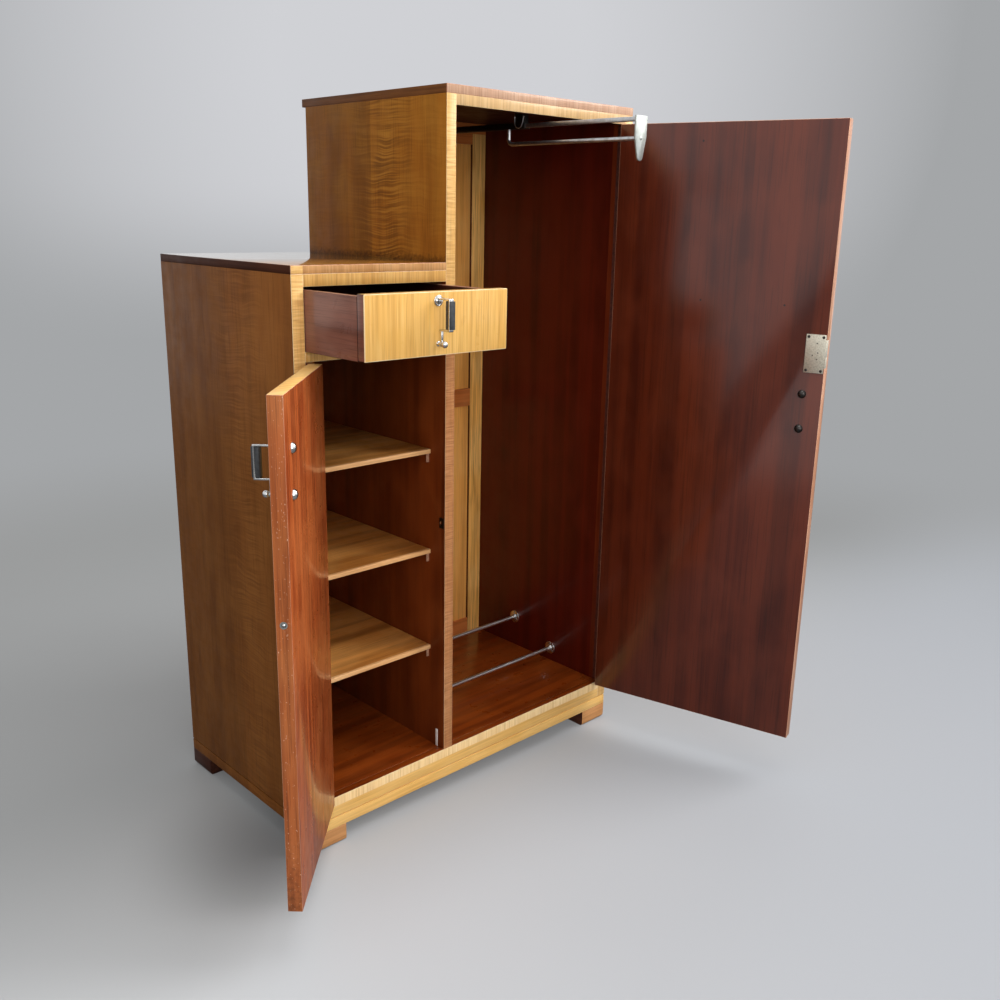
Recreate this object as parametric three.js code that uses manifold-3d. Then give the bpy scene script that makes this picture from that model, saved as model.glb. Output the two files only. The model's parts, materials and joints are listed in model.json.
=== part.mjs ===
import * as THREE from 'three';
import { mergeVertices } from 'three/addons/utils/BufferGeometryUtils.js';
import Module from 'manifold-3d';

// Stepped wardrobe with a low drawer-and-shelf side and a tall hanging side.
// Millimetres. X runs to the right seen from the front, Y to the back, Z up.
// The front plane of the case is y = 0 and its left side is x = 0.

// Overall sizes
const caseWidth = 915;
const caseDepth = 502;
const tallHeight = 1527;
const lowHeight = 1193;
const lowWidth = 358.5;

// Boards of the case
const sideThickness = 25;
const dividerThickness = 24;
const tallTopThickness = 17;
const lowTopThickness = 15.5;
const tallRailHeight = 20;
const lowRailHeight = 22;
const railDepth = 20;
const drawerBoardThickness = 18.5;
const floorThickness = 18;
const baseRailHeight = 44.5;

// Plinth and feet
const footHeight = 40;
const leftFootLength = 89;
const rightFootLength = 83;
const footDepth = 80;
const footRounding = 8;
const plinthHeight = 26.5;
const plinthThickness = 22;
const plinthGrooveHeight = 2.5;
const plinthGrooveDepth = 2.5;

// Framed back of the tall side and plain back of the low side
const backInset = 14;
const backFrameThickness = 20;
const backStileWidth = 45;
const backTopRailHeight = 51;
const backTopRailDrop = 26;
const backMiddleRailHeight = 47;
const backMiddleRailLevel = 781;
const backBottomRailHeight = 44;
const backPanelThickness = 6;
const lowBackThickness = 6;

// Drawer
const drawerFrontHeight = 113.5;
const drawerFrontThickness = 20;
const drawerBackGap = 42;
const drawerSideThickness = 12;
const drawerSideDrop = 4;
const drawerBackThickness = 10;
const drawerBottomThickness = 4;
const drawerBottomLift = 8;
const drawerPull = 179.5;
const drawerRunGap = 0.5;

// Shelves of the low side and the bent steel strips under them
const lowerShelfLevel = 353.9;
const middleShelfLevel = 579.8;
const upperShelfLevel = 803.6;
const shelfThickness = 9.5;
const shelfSetback = 46.5;
const shelfSideGap = 0.75;
const supportSetback = 53;
const supportWidth = 7;
const supportThickness = 2;
const supportDrop = 20;
const supportBackGap = 22;

// Doors
const doorThickness = 25.5;
const doorGap = 1.5;
const leftDoorAngle = 134;
const rightDoorAngle = 104.8;

// Continuous hinges
const leafThickness = 1;
const leafGap = 0.3;
const leafWidth = 20;
const barrelRadius = 2.6;
const barrelClearance = 0.2;
const pinRadius = 1.2;
const pinClearance = 0.3;
const knuckleGap = 0.4;
const knuckleTarget = 66;

// Handles: a flat strap with a round rosette above, a ball below and a dark grip
const handleFixing = 76.2;
const handleReach = 36.5;
const strapThickness = 3.2;
const strapWidth = 10;
const upperArmRise = 2;
const gripSpan = 51.5;
const rosetteRadius = 9.7;
const rosetteHeight = 5;
const legWidth = 5;
const legStand = 9;
const legEyeRadius = 5;
const ballRadius = 6.2;
const ballStand = 18;
const studRadius = 3;
const gripInnerDepth = 9;
const gripOuterDepth = 2.4;
const gripSideWall = 1.2;
const gripEndGap = 1;
const seatGap = 0.3;
const doorHandleLevel = 926.8;
const leftHandleInset = 50;
const rightHandleInset = 42.5;
const drawerHandleDrop = 16;
const drawerHandleShift = 4.2;

// Lock of the tall door
const lockPlateWidth = 42;
const lockPlateHeight = 82;
const lockPlateThickness = 2;
const lockPlateInset = 2;
const lockLevel = 1015.5;
const lockBodyLength = 34;
const lockBodyHeight = 60;
const lockBodyDepth = 12.5;
const boltLength = 26;
const boltHeight = 13;
const boltThickness = 7;
const boltFaceInset = 2.5;
const boltSetback = 0.2;
const strikeDepth = 10;
const strikeMargin = 1.2;
const cutOverrun = 1;

// Ball catch of the short door
const catchLevel = 646.8;
const catchCaseRadius = 5;
const catchCaseLength = 15;
const catchBoreRadius = 3.8;
const catchBallRadius = 3.5;
const catchBallShow = 2;
const catchFloor = 2;
const catchStrikeRadius = 4.2;
const catchStrikeDepth = 3;

// Pull-out hanging rail under the tall top
const hangerPull = 284;
const endPlateSetback = 30;
const endPlateThickness = 4;
const endPlateWidth = 34;
const endPlateHeight = 84;
const endPlateTipRadius = 8.5;
const endPlateShoulder = 40;
const slideTopDrop = 34;
const slideHeight = 8;
const slideWidth = 14;
const slideBackGap = 34;
const endPlateRise = 1.5;
const hangRodRadius = 4.3;
const hangRodDrop = 36;
const hangRodInset = 34;
const hangRodBend = 12;
const trackStart = 60;
const trackBackGap = 18;
const trackWall = 1.6;
const trackRunGap = 0.5;
const trackSlotMargin = 0.6;
const bracketLength = 24;
const bracketInset = 6;
const bracketWidth = 34;

// Shoe rails
const frontShoeRailSetback = 177;
const frontShoeRailLevel = 146.6;
const rearShoeRailSetback = 317;
const rearShoeRailLevel = 194.7;
const shoeRailRadius = 5;
const flangeRadius = 17;
const flangeThickness = 3;
const bossRadius = 8.5;
const bossLength = 11;

// Facet counts
const knuckleSides = 12;
const rodSides = 16;
const flangeSides = 24;
const roundingSteps = 4;
const ballColumns = 16;
const ballRows = 10;

// Colours and surfaces
const finishes = {
  satinwood: { color: 0xd9a557, roughness: 0.32, metalness: 0 },
  sideVeneer: { color: 0x8a5527, roughness: 0.3, metalness: 0 },
  banding: { color: 0xa66a48, roughness: 0.35, metalness: 0 },
  mahogany: { color: 0x6d2f1a, roughness: 0.45, metalness: 0 },
  darkMahogany: { color: 0x43180e, roughness: 0.5, metalness: 0 },
  backWood: { color: 0xa8702f, roughness: 0.6, metalness: 0 },
  backRail: { color: 0x7a4522, roughness: 0.6, metalness: 0 },
  shelfWood: { color: 0xb07a45, roughness: 0.5, metalness: 0 },
  footWood: { color: 0xb4683a, roughness: 0.45, metalness: 0 },
  drawerWood: { color: 0x5a2a16, roughness: 0.5, metalness: 0 },
  chrome: { color: 0xc9ccd0, roughness: 0.18, metalness: 1 },
  steel: { color: 0x8d8b88, roughness: 0.4, metalness: 1 },
  nickel: { color: 0xb9b49c, roughness: 0.42, metalness: 0.9 },
  brass: { color: 0xb08d4a, roughness: 0.35, metalness: 1 },
  bakelite: { color: 0x2e2723, roughness: 0.35, metalness: 0 },
};

const wasm = await Module();
wasm.setup();

// Solid from a closed geometry
function toSolid(geometry) {
  const bare = geometry.clone();
  bare.deleteAttribute('normal');
  bare.deleteAttribute('uv');
  const merged = mergeVertices(bare);
  const mesh = new wasm.Mesh({
    numProp: 3,
    vertProperties: new Float32Array(merged.attributes.position.array),
    triVerts: new Uint32Array(merged.index.array),
  });
  return new wasm.Manifold(mesh);
}

// Geometry from a solid
function toGeometry(solid) {
  const mesh = solid.getMesh();
  const geometry = new THREE.BufferGeometry();
  geometry.setAttribute('position', new THREE.BufferAttribute(new Float32Array(mesh.vertProperties), 3));
  geometry.setIndex(new THREE.BufferAttribute(new Uint32Array(mesh.triVerts), 1));
  geometry.computeVertexNormals();
  return geometry;
}

// Geometries joined into one body
function join(geometries) {
  return toGeometry(geometries.map(toSolid).reduce((sum, next) => sum.add(next)));
}

// Geometry with others cut out of it
function cut(geometry, cutters) {
  return toGeometry(cutters.map(toSolid).reduce((rest, next) => rest.subtract(next), toSolid(geometry)));
}

// Box that runs from its lowest to its highest corner
function box([x0, x1], [y0, y1], [z0, z1]) {
  const geometry = new THREE.BoxGeometry();
  const position = geometry.attributes.position;
  for (let i = 0; i < position.count; i += 1) {
    position.setXYZ(
      i,
      position.getX(i) < 0 ? x0 : x1,
      position.getY(i) < 0 ? y0 : y1,
      position.getZ(i) < 0 ? z0 : z1,
    );
  }
  return geometry;
}

// Round bar along an axis, from one end to the other
function bar(radius, axis, [start, end], sides, [u, v]) {
  const geometry = new THREE.CylinderGeometry(radius, radius, end - start, sides);
  const middle = (start + end) / 2;
  if (axis === 'x') {
    geometry.rotateZ(Math.PI / 2);
    geometry.translate(middle, u, v);
  } else if (axis === 'y') {
    geometry.translate(u, middle, v);
  } else {
    geometry.rotateX(Math.PI / 2);
    geometry.translate(u, v, middle);
  }
  return geometry;
}

// Outline of [u, v] points pushed along X, with u as Y and v as Z
function alongX(points, [x0, x1]) {
  const shape = new THREE.Shape(points.map(([u, v]) => new THREE.Vector2(u, v)));
  const geometry = new THREE.ExtrudeGeometry(shape, { depth: x1 - x0, bevelEnabled: false });
  geometry.rotateX(Math.PI / 2);
  geometry.rotateZ(Math.PI / 2);
  geometry.translate(x0, 0, 0);
  return geometry;
}

// Outline of [u, v] points pushed along Y, with u as X and v as Z
function alongY(points, [y0, y1]) {
  const shape = new THREE.Shape(points.map(([u, v]) => new THREE.Vector2(u, v)));
  const geometry = new THREE.ExtrudeGeometry(shape, { depth: y1 - y0, bevelEnabled: false });
  geometry.rotateX(Math.PI / 2);
  geometry.translate(0, y1, 0);
  return geometry;
}

// Named mesh in a group
function add(group, name, geometry, finish) {
  const mesh = new THREE.Mesh(geometry, new THREE.MeshStandardMaterial(finishes[finish]));
  mesh.name = name;
  group.add(mesh);
  return mesh;
}

// Levels and faces that several boards share
const plinthTop = footHeight + plinthHeight;
const floorTop = plinthTop + baseRailHeight;
const tallCeiling = tallHeight - tallTopThickness;
const tallOpeningTop = tallCeiling - tallRailHeight;
const lowCeiling = lowHeight - lowTopThickness;
const drawerOpeningTop = lowCeiling - lowRailHeight;
const drawerTop = drawerOpeningTop - doorGap;
const drawerFoot = drawerTop - drawerFrontHeight;
const drawerBoardTop = drawerFoot - doorGap;
const drawerBoardFoot = drawerBoardTop - drawerBoardThickness;
const dividerRight = lowWidth + dividerThickness;
const rightInner = caseWidth - sideThickness;
const backFace = caseDepth - backInset;
const backFrameFront = backFace - backFrameThickness;
const lowBackFront = backFace - lowBackThickness;
const hingeGap = 2 * leafThickness + 2 * leafGap;
const axisForward = barrelRadius + barrelClearance;
const axisInset = leafThickness + leafGap / 2;

const wardrobe = new THREE.Group();
const carcass = new THREE.Group();
wardrobe.add(carcass);

// Sides, tops and front rails
add(carcass, 'side_left', box([0, sideThickness], [0, caseDepth], [plinthTop, lowCeiling]), 'sideVeneer');
add(
  carcass,
  'side_right',
  box([rightInner, caseWidth], [0, caseDepth], [plinthTop, tallCeiling]),
  'sideVeneer',
);
add(carcass, 'top_low', box([0, lowWidth], [0, caseDepth], [lowCeiling, lowHeight]), 'banding');
add(carcass, 'top_tall', box([lowWidth, caseWidth], [0, caseDepth], [tallCeiling, tallHeight]), 'banding');
add(
  carcass,
  'rail_low',
  box([sideThickness, lowWidth], [0, railDepth], [drawerOpeningTop, lowCeiling]),
  'satinwood',
);
add(
  carcass,
  'rail_tall',
  box([dividerRight, rightInner], [0, railDepth], [tallOpeningTop, tallCeiling]),
  'satinwood',
);
add(
  carcass,
  'drawer_board',
  box([sideThickness, lowWidth], [0, lowBackFront], [drawerBoardFoot, drawerBoardTop]),
  'satinwood',
);

// Bottom: a tall front rail with the floor board behind it
add(
  carcass,
  'base_rail',
  box([sideThickness, rightInner], [0, railDepth], [plinthTop, floorTop]),
  'satinwood',
);
add(
  carcass,
  'floor_board',
  box(
    [sideThickness, rightInner],
    [railDepth, caseDepth - backInset],
    [floorTop - floorThickness, floorTop],
  ),
  'darkMahogany',
);

// Wall between the two sides, cut for the lock bolt and for the ball of the catch
const doorMiddle = doorThickness / 2;
const boltY = [doorThickness - boltFaceInset - boltThickness, doorThickness - boltFaceInset];
const boltZ = [lockLevel - boltHeight / 2, lockLevel + boltHeight / 2];
const boltMortise = box(
  [dividerRight - strikeDepth, dividerRight + cutOverrun],
  [boltY[0] - strikeMargin, boltY[1] + strikeMargin],
  [boltZ[0] - strikeMargin, boltZ[1] + strikeMargin],
);
const ballMortise = bar(
  catchStrikeRadius,
  'x',
  [lowWidth - cutOverrun, lowWidth + catchStrikeDepth],
  rodSides,
  [doorMiddle, catchLevel],
);
const dividerBlank = box([lowWidth, dividerRight], [0, caseDepth - backInset], [floorTop, tallCeiling]);
add(carcass, 'divider', cut(dividerBlank, [boltMortise, ballMortise]), 'sideVeneer');

// Plinth: bands with a narrow groove along their top outer edge
const plinthShape = (face, inner, sign) => [
  [face + sign * plinthGrooveDepth, plinthTop],
  [face + sign * plinthGrooveDepth, plinthTop - plinthGrooveHeight],
  [face, plinthTop - plinthGrooveHeight],
  [face, footHeight],
  [inner, footHeight],
  [inner, plinthTop],
];
const plinthInnerLeft = plinthThickness;
const plinthInnerRight = caseWidth - plinthThickness;
add(carcass, 'plinth_front', alongX(plinthShape(0, plinthThickness, 1), [0, caseWidth]), 'satinwood');
add(
  carcass,
  'plinth_left',
  alongY(plinthShape(0, plinthInnerLeft, 1), [plinthThickness, caseDepth]),
  'sideVeneer',
);
add(
  carcass,
  'plinth_right',
  alongY(plinthShape(caseWidth, plinthInnerRight, -1), [plinthThickness, caseDepth]),
  'sideVeneer',
);

// Foot blocks, rounded where their outer faces turn under
function footOutline(outer, inner) {
  const sign = Math.sign(inner - outer);
  const points = [];
  for (let i = 0; i <= roundingSteps; i += 1) {
    const angle = ((i / roundingSteps) * Math.PI) / 2;
    points.push([
      outer + sign * footRounding * (1 - Math.cos(angle)),
      footRounding * (1 - Math.sin(angle)),
    ]);
  }
  return [[outer, footHeight], ...points, [inner, 0], [inner, footHeight]];
}
const footXs = [
  ['left', 0, leftFootLength],
  ['right', caseWidth, caseWidth - rightFootLength],
];
const footYs = [
  ['front', 0, footDepth],
  ['back', caseDepth, caseDepth - footDepth],
];
for (const [depthName, outerY, innerY] of footYs) {
  for (const [sideName, outerX, innerX] of footXs) {
    const footX = [Math.min(outerX, innerX), Math.max(outerX, innerX)];
    const footY = [Math.min(outerY, innerY), Math.max(outerY, innerY)];
    const across = toSolid(alongY(footOutline(outerX, innerX), footY));
    const along = toSolid(alongX(footOutline(outerY, innerY), footX));
    add(carcass, `foot_${depthName}_${sideName}`, toGeometry(across.intersect(along)), 'footWood');
  }
}

// Framed back of the tall side
const backX = [dividerRight, rightInner];
const stileTop = tallCeiling - (backTopRailHeight - backTopRailDrop);
const backTopRailFoot = tallCeiling - backTopRailHeight;
const panelX = [backX[0] + backStileWidth, backX[1] - backStileWidth];
const frameY = [backFrameFront, backFace];
const panelY = [
  (frameY[0] + frameY[1] - backPanelThickness) / 2,
  (frameY[0] + frameY[1] + backPanelThickness) / 2,
];
const middleRailZ = [backMiddleRailLevel, backMiddleRailLevel + backMiddleRailHeight];
const bottomRailTop = floorTop + backBottomRailHeight;
add(carcass, 'back_stile_left', box([backX[0], panelX[0]], frameY, [floorTop, stileTop]), 'backWood');
add(carcass, 'back_stile_right', box([panelX[1], backX[1]], frameY, [floorTop, stileTop]), 'backWood');
const topRailOutline = [
  [backX[0], tallCeiling],
  [backX[0], stileTop],
  [panelX[0], stileTop],
  [panelX[0], backTopRailFoot],
  [panelX[1], backTopRailFoot],
  [panelX[1], stileTop],
  [backX[1], stileTop],
  [backX[1], tallCeiling],
];
add(carcass, 'back_rail_top', alongY(topRailOutline, frameY), 'backRail');
add(carcass, 'back_rail_middle', box(panelX, frameY, middleRailZ), 'backRail');
add(carcass, 'back_rail_bottom', box(panelX, frameY, [floorTop, bottomRailTop]), 'backRail');
add(carcass, 'back_panel_upper', box(panelX, panelY, [middleRailZ[1], backTopRailFoot]), 'backWood');
add(carcass, 'back_panel_lower', box(panelX, panelY, [bottomRailTop, middleRailZ[0]]), 'backWood');

// Plain back of the low side
add(
  carcass,
  'back_low',
  box([sideThickness, lowWidth], [lowBackFront, backFace], [floorTop, lowCeiling]),
  'darkMahogany',
);

// Shelves and the bent strips that carry them
const shelves = [
  ['lower', lowerShelfLevel],
  ['middle', middleShelfLevel],
  ['upper', upperShelfLevel],
];
const shelfX = [sideThickness + shelfSideGap, lowWidth - shelfSideGap];
const supportEnd = lowBackFront - supportBackGap;
for (const [shelfName, level] of shelves) {
  const underside = level - shelfThickness;
  add(
    carcass,
    `shelf_${shelfName}`,
    box(shelfX, [shelfSetback, lowBackFront], [underside, level]),
    'shelfWood',
  );
  const stripFoot = underside - supportThickness;
  const stripOutline = [
    [supportSetback, underside],
    [supportSetback, underside - supportDrop],
    [supportSetback + supportThickness, underside - supportDrop],
    [supportSetback + supportThickness, stripFoot],
    [supportEnd - supportThickness, stripFoot],
    [supportEnd - supportThickness, underside - supportDrop],
    [supportEnd, underside - supportDrop],
    [supportEnd, underside],
  ];
  const leftX = [sideThickness, sideThickness + supportWidth];
  const rightX = [lowWidth - supportWidth, lowWidth];
  add(carcass, `shelf_support_${shelfName}_left`, alongX(stripOutline, leftX), 'steel');
  add(carcass, `shelf_support_${shelfName}_right`, alongX(stripOutline, rightX), 'steel');
}

// Shoe rails: a rod with a boss and a screwed flange at each end
function shoeRail(level, back) {
  const half = (rightInner - dividerRight) / 2;
  const profile = [
    [0, -half],
    [flangeRadius, -half],
    [flangeRadius, flangeThickness - half],
    [bossRadius, flangeThickness - half],
    [bossRadius, bossLength - half],
    [shoeRailRadius, bossLength - half],
    [shoeRailRadius, half - bossLength],
    [bossRadius, half - bossLength],
    [bossRadius, half - flangeThickness],
    [flangeRadius, half - flangeThickness],
    [flangeRadius, half],
    [0, half],
  ];
  const points = profile.map(([radius, height]) => new THREE.Vector2(radius, height));
  const geometry = new THREE.LatheGeometry(points, flangeSides);
  geometry.rotateZ(-Math.PI / 2);
  geometry.translate((dividerRight + rightInner) / 2, back, level);
  return geometry;
}
add(carcass, 'shoe_rail_front', shoeRail(frontShoeRailLevel, frontShoeRailSetback), 'chrome');
add(carcass, 'shoe_rail_rear', shoeRail(rearShoeRailLevel, rearShoeRailSetback), 'chrome');

// Pull-out hanging rail: a C-shaped track hung under the top
const hangX = (dividerRight + rightInner) / 2;
const slideTop = tallCeiling - slideTopDrop;
const slideFoot = slideTop - slideHeight;
const trackEnd = backFrameFront - trackBackGap;
const slideEnd = backFrameFront - slideBackGap;
const trackInner = slideWidth / 2 + trackRunGap;
const trackOuter = trackInner + trackWall;
const trackSlot = hangRodRadius + trackSlotMargin;
const trackRoof = slideTop + trackRunGap;
const trackSole = slideFoot - trackRunGap;
const trackOutline = [
  [hangX - trackOuter, trackRoof + trackWall],
  [hangX - trackOuter, trackSole - trackWall],
  [hangX - trackSlot, trackSole - trackWall],
  [hangX - trackSlot, trackSole],
  [hangX - trackInner, trackSole],
  [hangX - trackInner, trackRoof],
  [hangX + trackInner, trackRoof],
  [hangX + trackInner, trackSole],
  [hangX + trackSlot, trackSole],
  [hangX + trackSlot, trackSole - trackWall],
  [hangX + trackOuter, trackSole - trackWall],
  [hangX + trackOuter, trackRoof + trackWall],
];
const bracketStarts = [trackStart + bracketInset, trackEnd - bracketInset - bracketLength];
const brackets = bracketStarts.flatMap((start) => [
  box([hangX - trackOuter, hangX + trackOuter], [start, start + bracketLength], [trackRoof, tallCeiling]),
  box(
    [hangX - bracketWidth / 2, hangX + bracketWidth / 2],
    [start, start + bracketLength],
    [tallCeiling - trackWall, tallCeiling],
  ),
]);
add(carcass, 'hanger_track', join([alongY(trackOutline, [trackStart, trackEnd]), ...brackets]), 'steel');

// Moving part of the hanging rail, drawn pushed home and then pulled out
const hanger = new THREE.Group();
hanger.position.y = -hangerPull;
wardrobe.add(hanger);
const plateBack = endPlateSetback + endPlateThickness;
const rodLevel = slideTop - hangRodDrop - hangRodRadius;
const rodEnd = slideEnd - hangRodInset;
const rodPath = new THREE.CurvePath();
const bendStart = rodEnd - hangRodBend;
const rodPoints = [
  new THREE.Vector3(hangX, plateBack + seatGap, rodLevel),
  new THREE.Vector3(hangX, bendStart, rodLevel),
  new THREE.Vector3(hangX, rodEnd, rodLevel),
  new THREE.Vector3(hangX, rodEnd, rodLevel + hangRodBend),
  new THREE.Vector3(hangX, rodEnd, slideFoot + slideHeight / 2),
];
rodPath.add(new THREE.LineCurve3(rodPoints[0], rodPoints[1]));
rodPath.add(new THREE.QuadraticBezierCurve3(rodPoints[1], rodPoints[2], rodPoints[3]));
rodPath.add(new THREE.LineCurve3(rodPoints[3], rodPoints[4]));

// Round bar whose rings follow the rod's centre line, square to it at each point
function bentRod(stations, radius, sides) {
  const across = new THREE.Vector3(1, 0, 0);
  const rings = stations.map(({ point, tangent }) => {
    const up = new THREE.Vector3().crossVectors(tangent, across).normalize();
    return Array.from({ length: sides }, (_, i) => {
      const angle = (i / sides) * 2 * Math.PI;
      return point
        .clone()
        .addScaledVector(across, radius * Math.cos(angle))
        .addScaledVector(up, radius * Math.sin(angle));
    });
  });
  const positions = rings.flat().flatMap((p) => [p.x, p.y, p.z]);
  const index = [];
  for (let ring = 0; ring < rings.length - 1; ring += 1) {
    for (let i = 0; i < sides; i += 1) {
      const a = ring * sides + i;
      const b = ring * sides + ((i + 1) % sides);
      index.push(a, b, b + sides, a, b + sides, a + sides);
    }
  }
  for (let i = 1; i < sides - 1; i += 1) {
    const last = (rings.length - 1) * sides;
    index.push(0, i + 1, i);
    index.push(last, last + i, last + i + 1);
  }
  const geometry = new THREE.BufferGeometry();
  geometry.setAttribute('position', new THREE.Float32BufferAttribute(positions, 3));
  geometry.setIndex(index);
  return geometry;
}
const bendSteps = roundingSteps * 2;
const straightStart = { point: rodPoints[0], tangent: new THREE.Vector3(0, 1, 0) };
const straightEnd = { point: rodPoints[4], tangent: new THREE.Vector3(0, 0, 1) };
const bendStations = Array.from({ length: bendSteps + 1 }, (_, i) => ({
  point: rodPath.curves[1].getPoint(i / bendSteps),
  tangent: rodPath.curves[1].getTangent(i / bendSteps),
}));
const hangRod = bentRod([straightStart, ...bendStations, straightEnd], hangRodRadius, rodSides);
const slideBar = box(
  [hangX - slideWidth / 2, hangX + slideWidth / 2],
  [plateBack + seatGap, slideEnd],
  [slideFoot, slideTop],
);
add(hanger, 'hanger_slide', join([slideBar, hangRod]), 'steel');

// Tapered end plate
const plateTop = slideTop + endPlateRise;
const plateFoot = plateTop - endPlateHeight;
const plateHalf = endPlateWidth / 2;
const tipCentre = plateFoot + endPlateTipRadius;
const tipSteps = roundingSteps * 2;
const tipPoints = Array.from({ length: tipSteps + 1 }, (_, i) => {
  const angle = Math.PI + (i / tipSteps) * Math.PI;
  return [hangX + endPlateTipRadius * Math.cos(angle), tipCentre + endPlateTipRadius * Math.sin(angle)];
});
const plateOutline = [
  [hangX - plateHalf, plateTop],
  [hangX - plateHalf, plateTop - endPlateShoulder],
  ...tipPoints,
  [hangX + plateHalf, plateTop - endPlateShoulder],
  [hangX + plateHalf, plateTop],
];
add(hanger, 'hanger_end_plate', alongY(plateOutline, [endPlateSetback, plateBack]), 'chrome');

// Dome of the rosette, as shares of its radius and height from the top down to the foot
const rosetteShares = [[0, 1], [0.46, 0.92], [0.82, 0.64], [1, 0.26], [1, 0]];

// Handle drawn on a face whose outward side is -Y, with its upper fixing at x, z.
// The grip is slotted over the strap from one side.
function handle(group, label, x, face, z, openSide) {
  const half = strapWidth / 2;
  const foot = face - seatGap;
  const reach = face - handleReach;
  const barBack = reach + strapThickness;
  const legBack = face - legStand;
  const legFront = legBack - strapThickness;
  const armFoot = z + upperArmRise;
  const armTop = armFoot + strapThickness;
  const lowerTop = armFoot - gripSpan;
  const lowerFoot = lowerTop - strapThickness;
  const ballZ = z - handleFixing;
  const ballY = face - ballStand;
  const strap = [
    [foot, armTop],
    [foot, armFoot],
    [barBack, armFoot],
    [barBack, lowerTop],
    [legBack, lowerTop],
    [legBack, lowerFoot],
    [reach, lowerFoot],
    [reach, armTop],
  ];
  const dome = rosetteShares.map(
    ([out, up]) => new THREE.Vector2(out * rosetteRadius, -up * rosetteHeight),
  );
  const rosette = new THREE.LatheGeometry([...dome, new THREE.Vector2(0, 0)], flangeSides);
  rosette.translate(x, foot, z);
  const ball = new THREE.SphereGeometry(ballRadius, ballColumns, ballRows);
  ball.translate(x, ballY, ballZ);
  const pieces = [
    alongX(strap, [x - half, x + half]),
    box([x - legWidth / 2, x + legWidth / 2], [legFront, legBack], [ballZ, lowerTop]),
    bar(legEyeRadius, 'y', [legFront, legBack], rodSides, [x, ballZ]),
    bar(studRadius, 'y', [ballY, foot], rodSides, [x, ballZ]),
    rosette,
    ball,
  ];
  add(group, `handle_${label}`, join(pieces), 'chrome');

  const gripEdges = [x - openSide * half, x + openSide * (half + seatGap + gripSideWall)];
  const slotEdges = [x - openSide * (half + cutOverrun), x + openSide * (half + seatGap)];
  const gripZ = [lowerTop + gripEndGap, armFoot - gripEndGap];
  const blank = box(
    gripEdges.sort((a, b) => a - b),
    [reach - gripOuterDepth, barBack + gripInnerDepth],
    gripZ,
  );
  const slot = box(
    slotEdges.sort((a, b) => a - b),
    [reach - seatGap, barBack + seatGap],
    [gripZ[0] - cutOverrun, gripZ[1] + cutOverrun],
  );
  add(group, `grip_${label}`, cut(blank, [slot]), 'bakelite');
}

// Drawer, drawn shut and then pulled out
const drawer = new THREE.Group();
drawer.position.y = -drawerPull;
wardrobe.add(drawer);
const drawerX = [sideThickness + doorGap, lowWidth - doorGap];
const drawerInnerX = [drawerX[0] + drawerSideThickness, drawerX[1] - drawerSideThickness];
const drawerSideZ = [drawerBoardTop + drawerRunGap, drawerTop - drawerSideDrop];
const drawerBottomZ = [
  drawerSideZ[0] + drawerBottomLift,
  drawerSideZ[0] + drawerBottomLift + drawerBottomThickness,
];
const drawerEnd = lowBackFront - drawerBackGap;
const drawerSideY = [drawerFrontThickness, drawerEnd];
const drawerBackY = [drawerEnd - drawerBackThickness, drawerEnd];
add(drawer, 'drawer_front', box(drawerX, [0, drawerFrontThickness], [drawerFoot, drawerTop]), 'satinwood');
add(drawer, 'drawer_side_left', box([drawerX[0], drawerInnerX[0]], drawerSideY, drawerSideZ), 'drawerWood');
add(drawer, 'drawer_side_right', box([drawerInnerX[1], drawerX[1]], drawerSideY, drawerSideZ), 'drawerWood');
add(drawer, 'drawer_back', box(drawerInnerX, drawerBackY, [drawerBottomZ[1], drawerSideZ[1]]), 'drawerWood');
add(drawer, 'drawer_bottom', box(drawerInnerX, drawerSideY, drawerBottomZ), 'drawerWood');
const drawerHandleX = (drawerX[0] + drawerX[1]) / 2 - drawerHandleShift;
handle(drawer, 'drawer', drawerHandleX, 0, drawerTop - drawerHandleDrop, 1);

// Continuous hinge: knuckles taken turn about by the case leaf and the door leaf.
// side is 1 where the leaf lies to the right of the case, -1 where it lies to the left.
function hinge(label, side, edgeX, levels, doorGroup) {
  const [foot, top] = levels;
  const count = 2 * Math.round((top - foot) / knuckleTarget / 2) + 1;
  const pitch = (top - foot) / count;
  const axisX = edgeX + side * axisInset;
  const sorted = (a, b) => [Math.min(a, b), Math.max(a, b)];
  const caseLeafX = sorted(edgeX, edgeX + side * leafThickness);
  const doorLeafStart = edgeX + side * (leafThickness + leafGap);
  const doorLeafX = sorted(doorLeafStart, doorLeafStart + side * leafThickness);
  const caseParts = [box(caseLeafX, [barrelClearance, leafWidth], levels)];
  const doorParts = [box(doorLeafX, [0, leafWidth], levels)];
  const bores = [];
  for (let i = 0; i < count; i += 1) {
    const z = [foot + i * pitch + knuckleGap / 2, foot + (i + 1) * pitch - knuckleGap / 2];
    const onCase = i % 2 === 0;
    const leafX = onCase ? caseLeafX : doorLeafX;
    const parts = onCase ? caseParts : doorParts;
    parts.push(bar(barrelRadius, 'z', z, knuckleSides, [axisX, -axisForward]));
    parts.push(box(leafX, [-axisForward, leafWidth / 2], z));
    if (onCase) {
      const open = [z[0] - knuckleGap, z[1] + knuckleGap];
      bores.push(bar(pinRadius + pinClearance, 'z', open, knuckleSides, [axisX, -axisForward]));
    }
  }
  doorParts.push(bar(pinRadius, 'z', levels, knuckleSides, [axisX, -axisForward]));
  add(carcass, `hinge_${label}_case`, cut(join(caseParts), bores), 'brass');
  const doorLeaf = join(doorParts);
  doorLeaf.translate(-axisX, axisForward, 0);
  add(doorGroup, `hinge_${label}_door`, doorLeaf, 'brass');
  return axisX;
}

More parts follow.
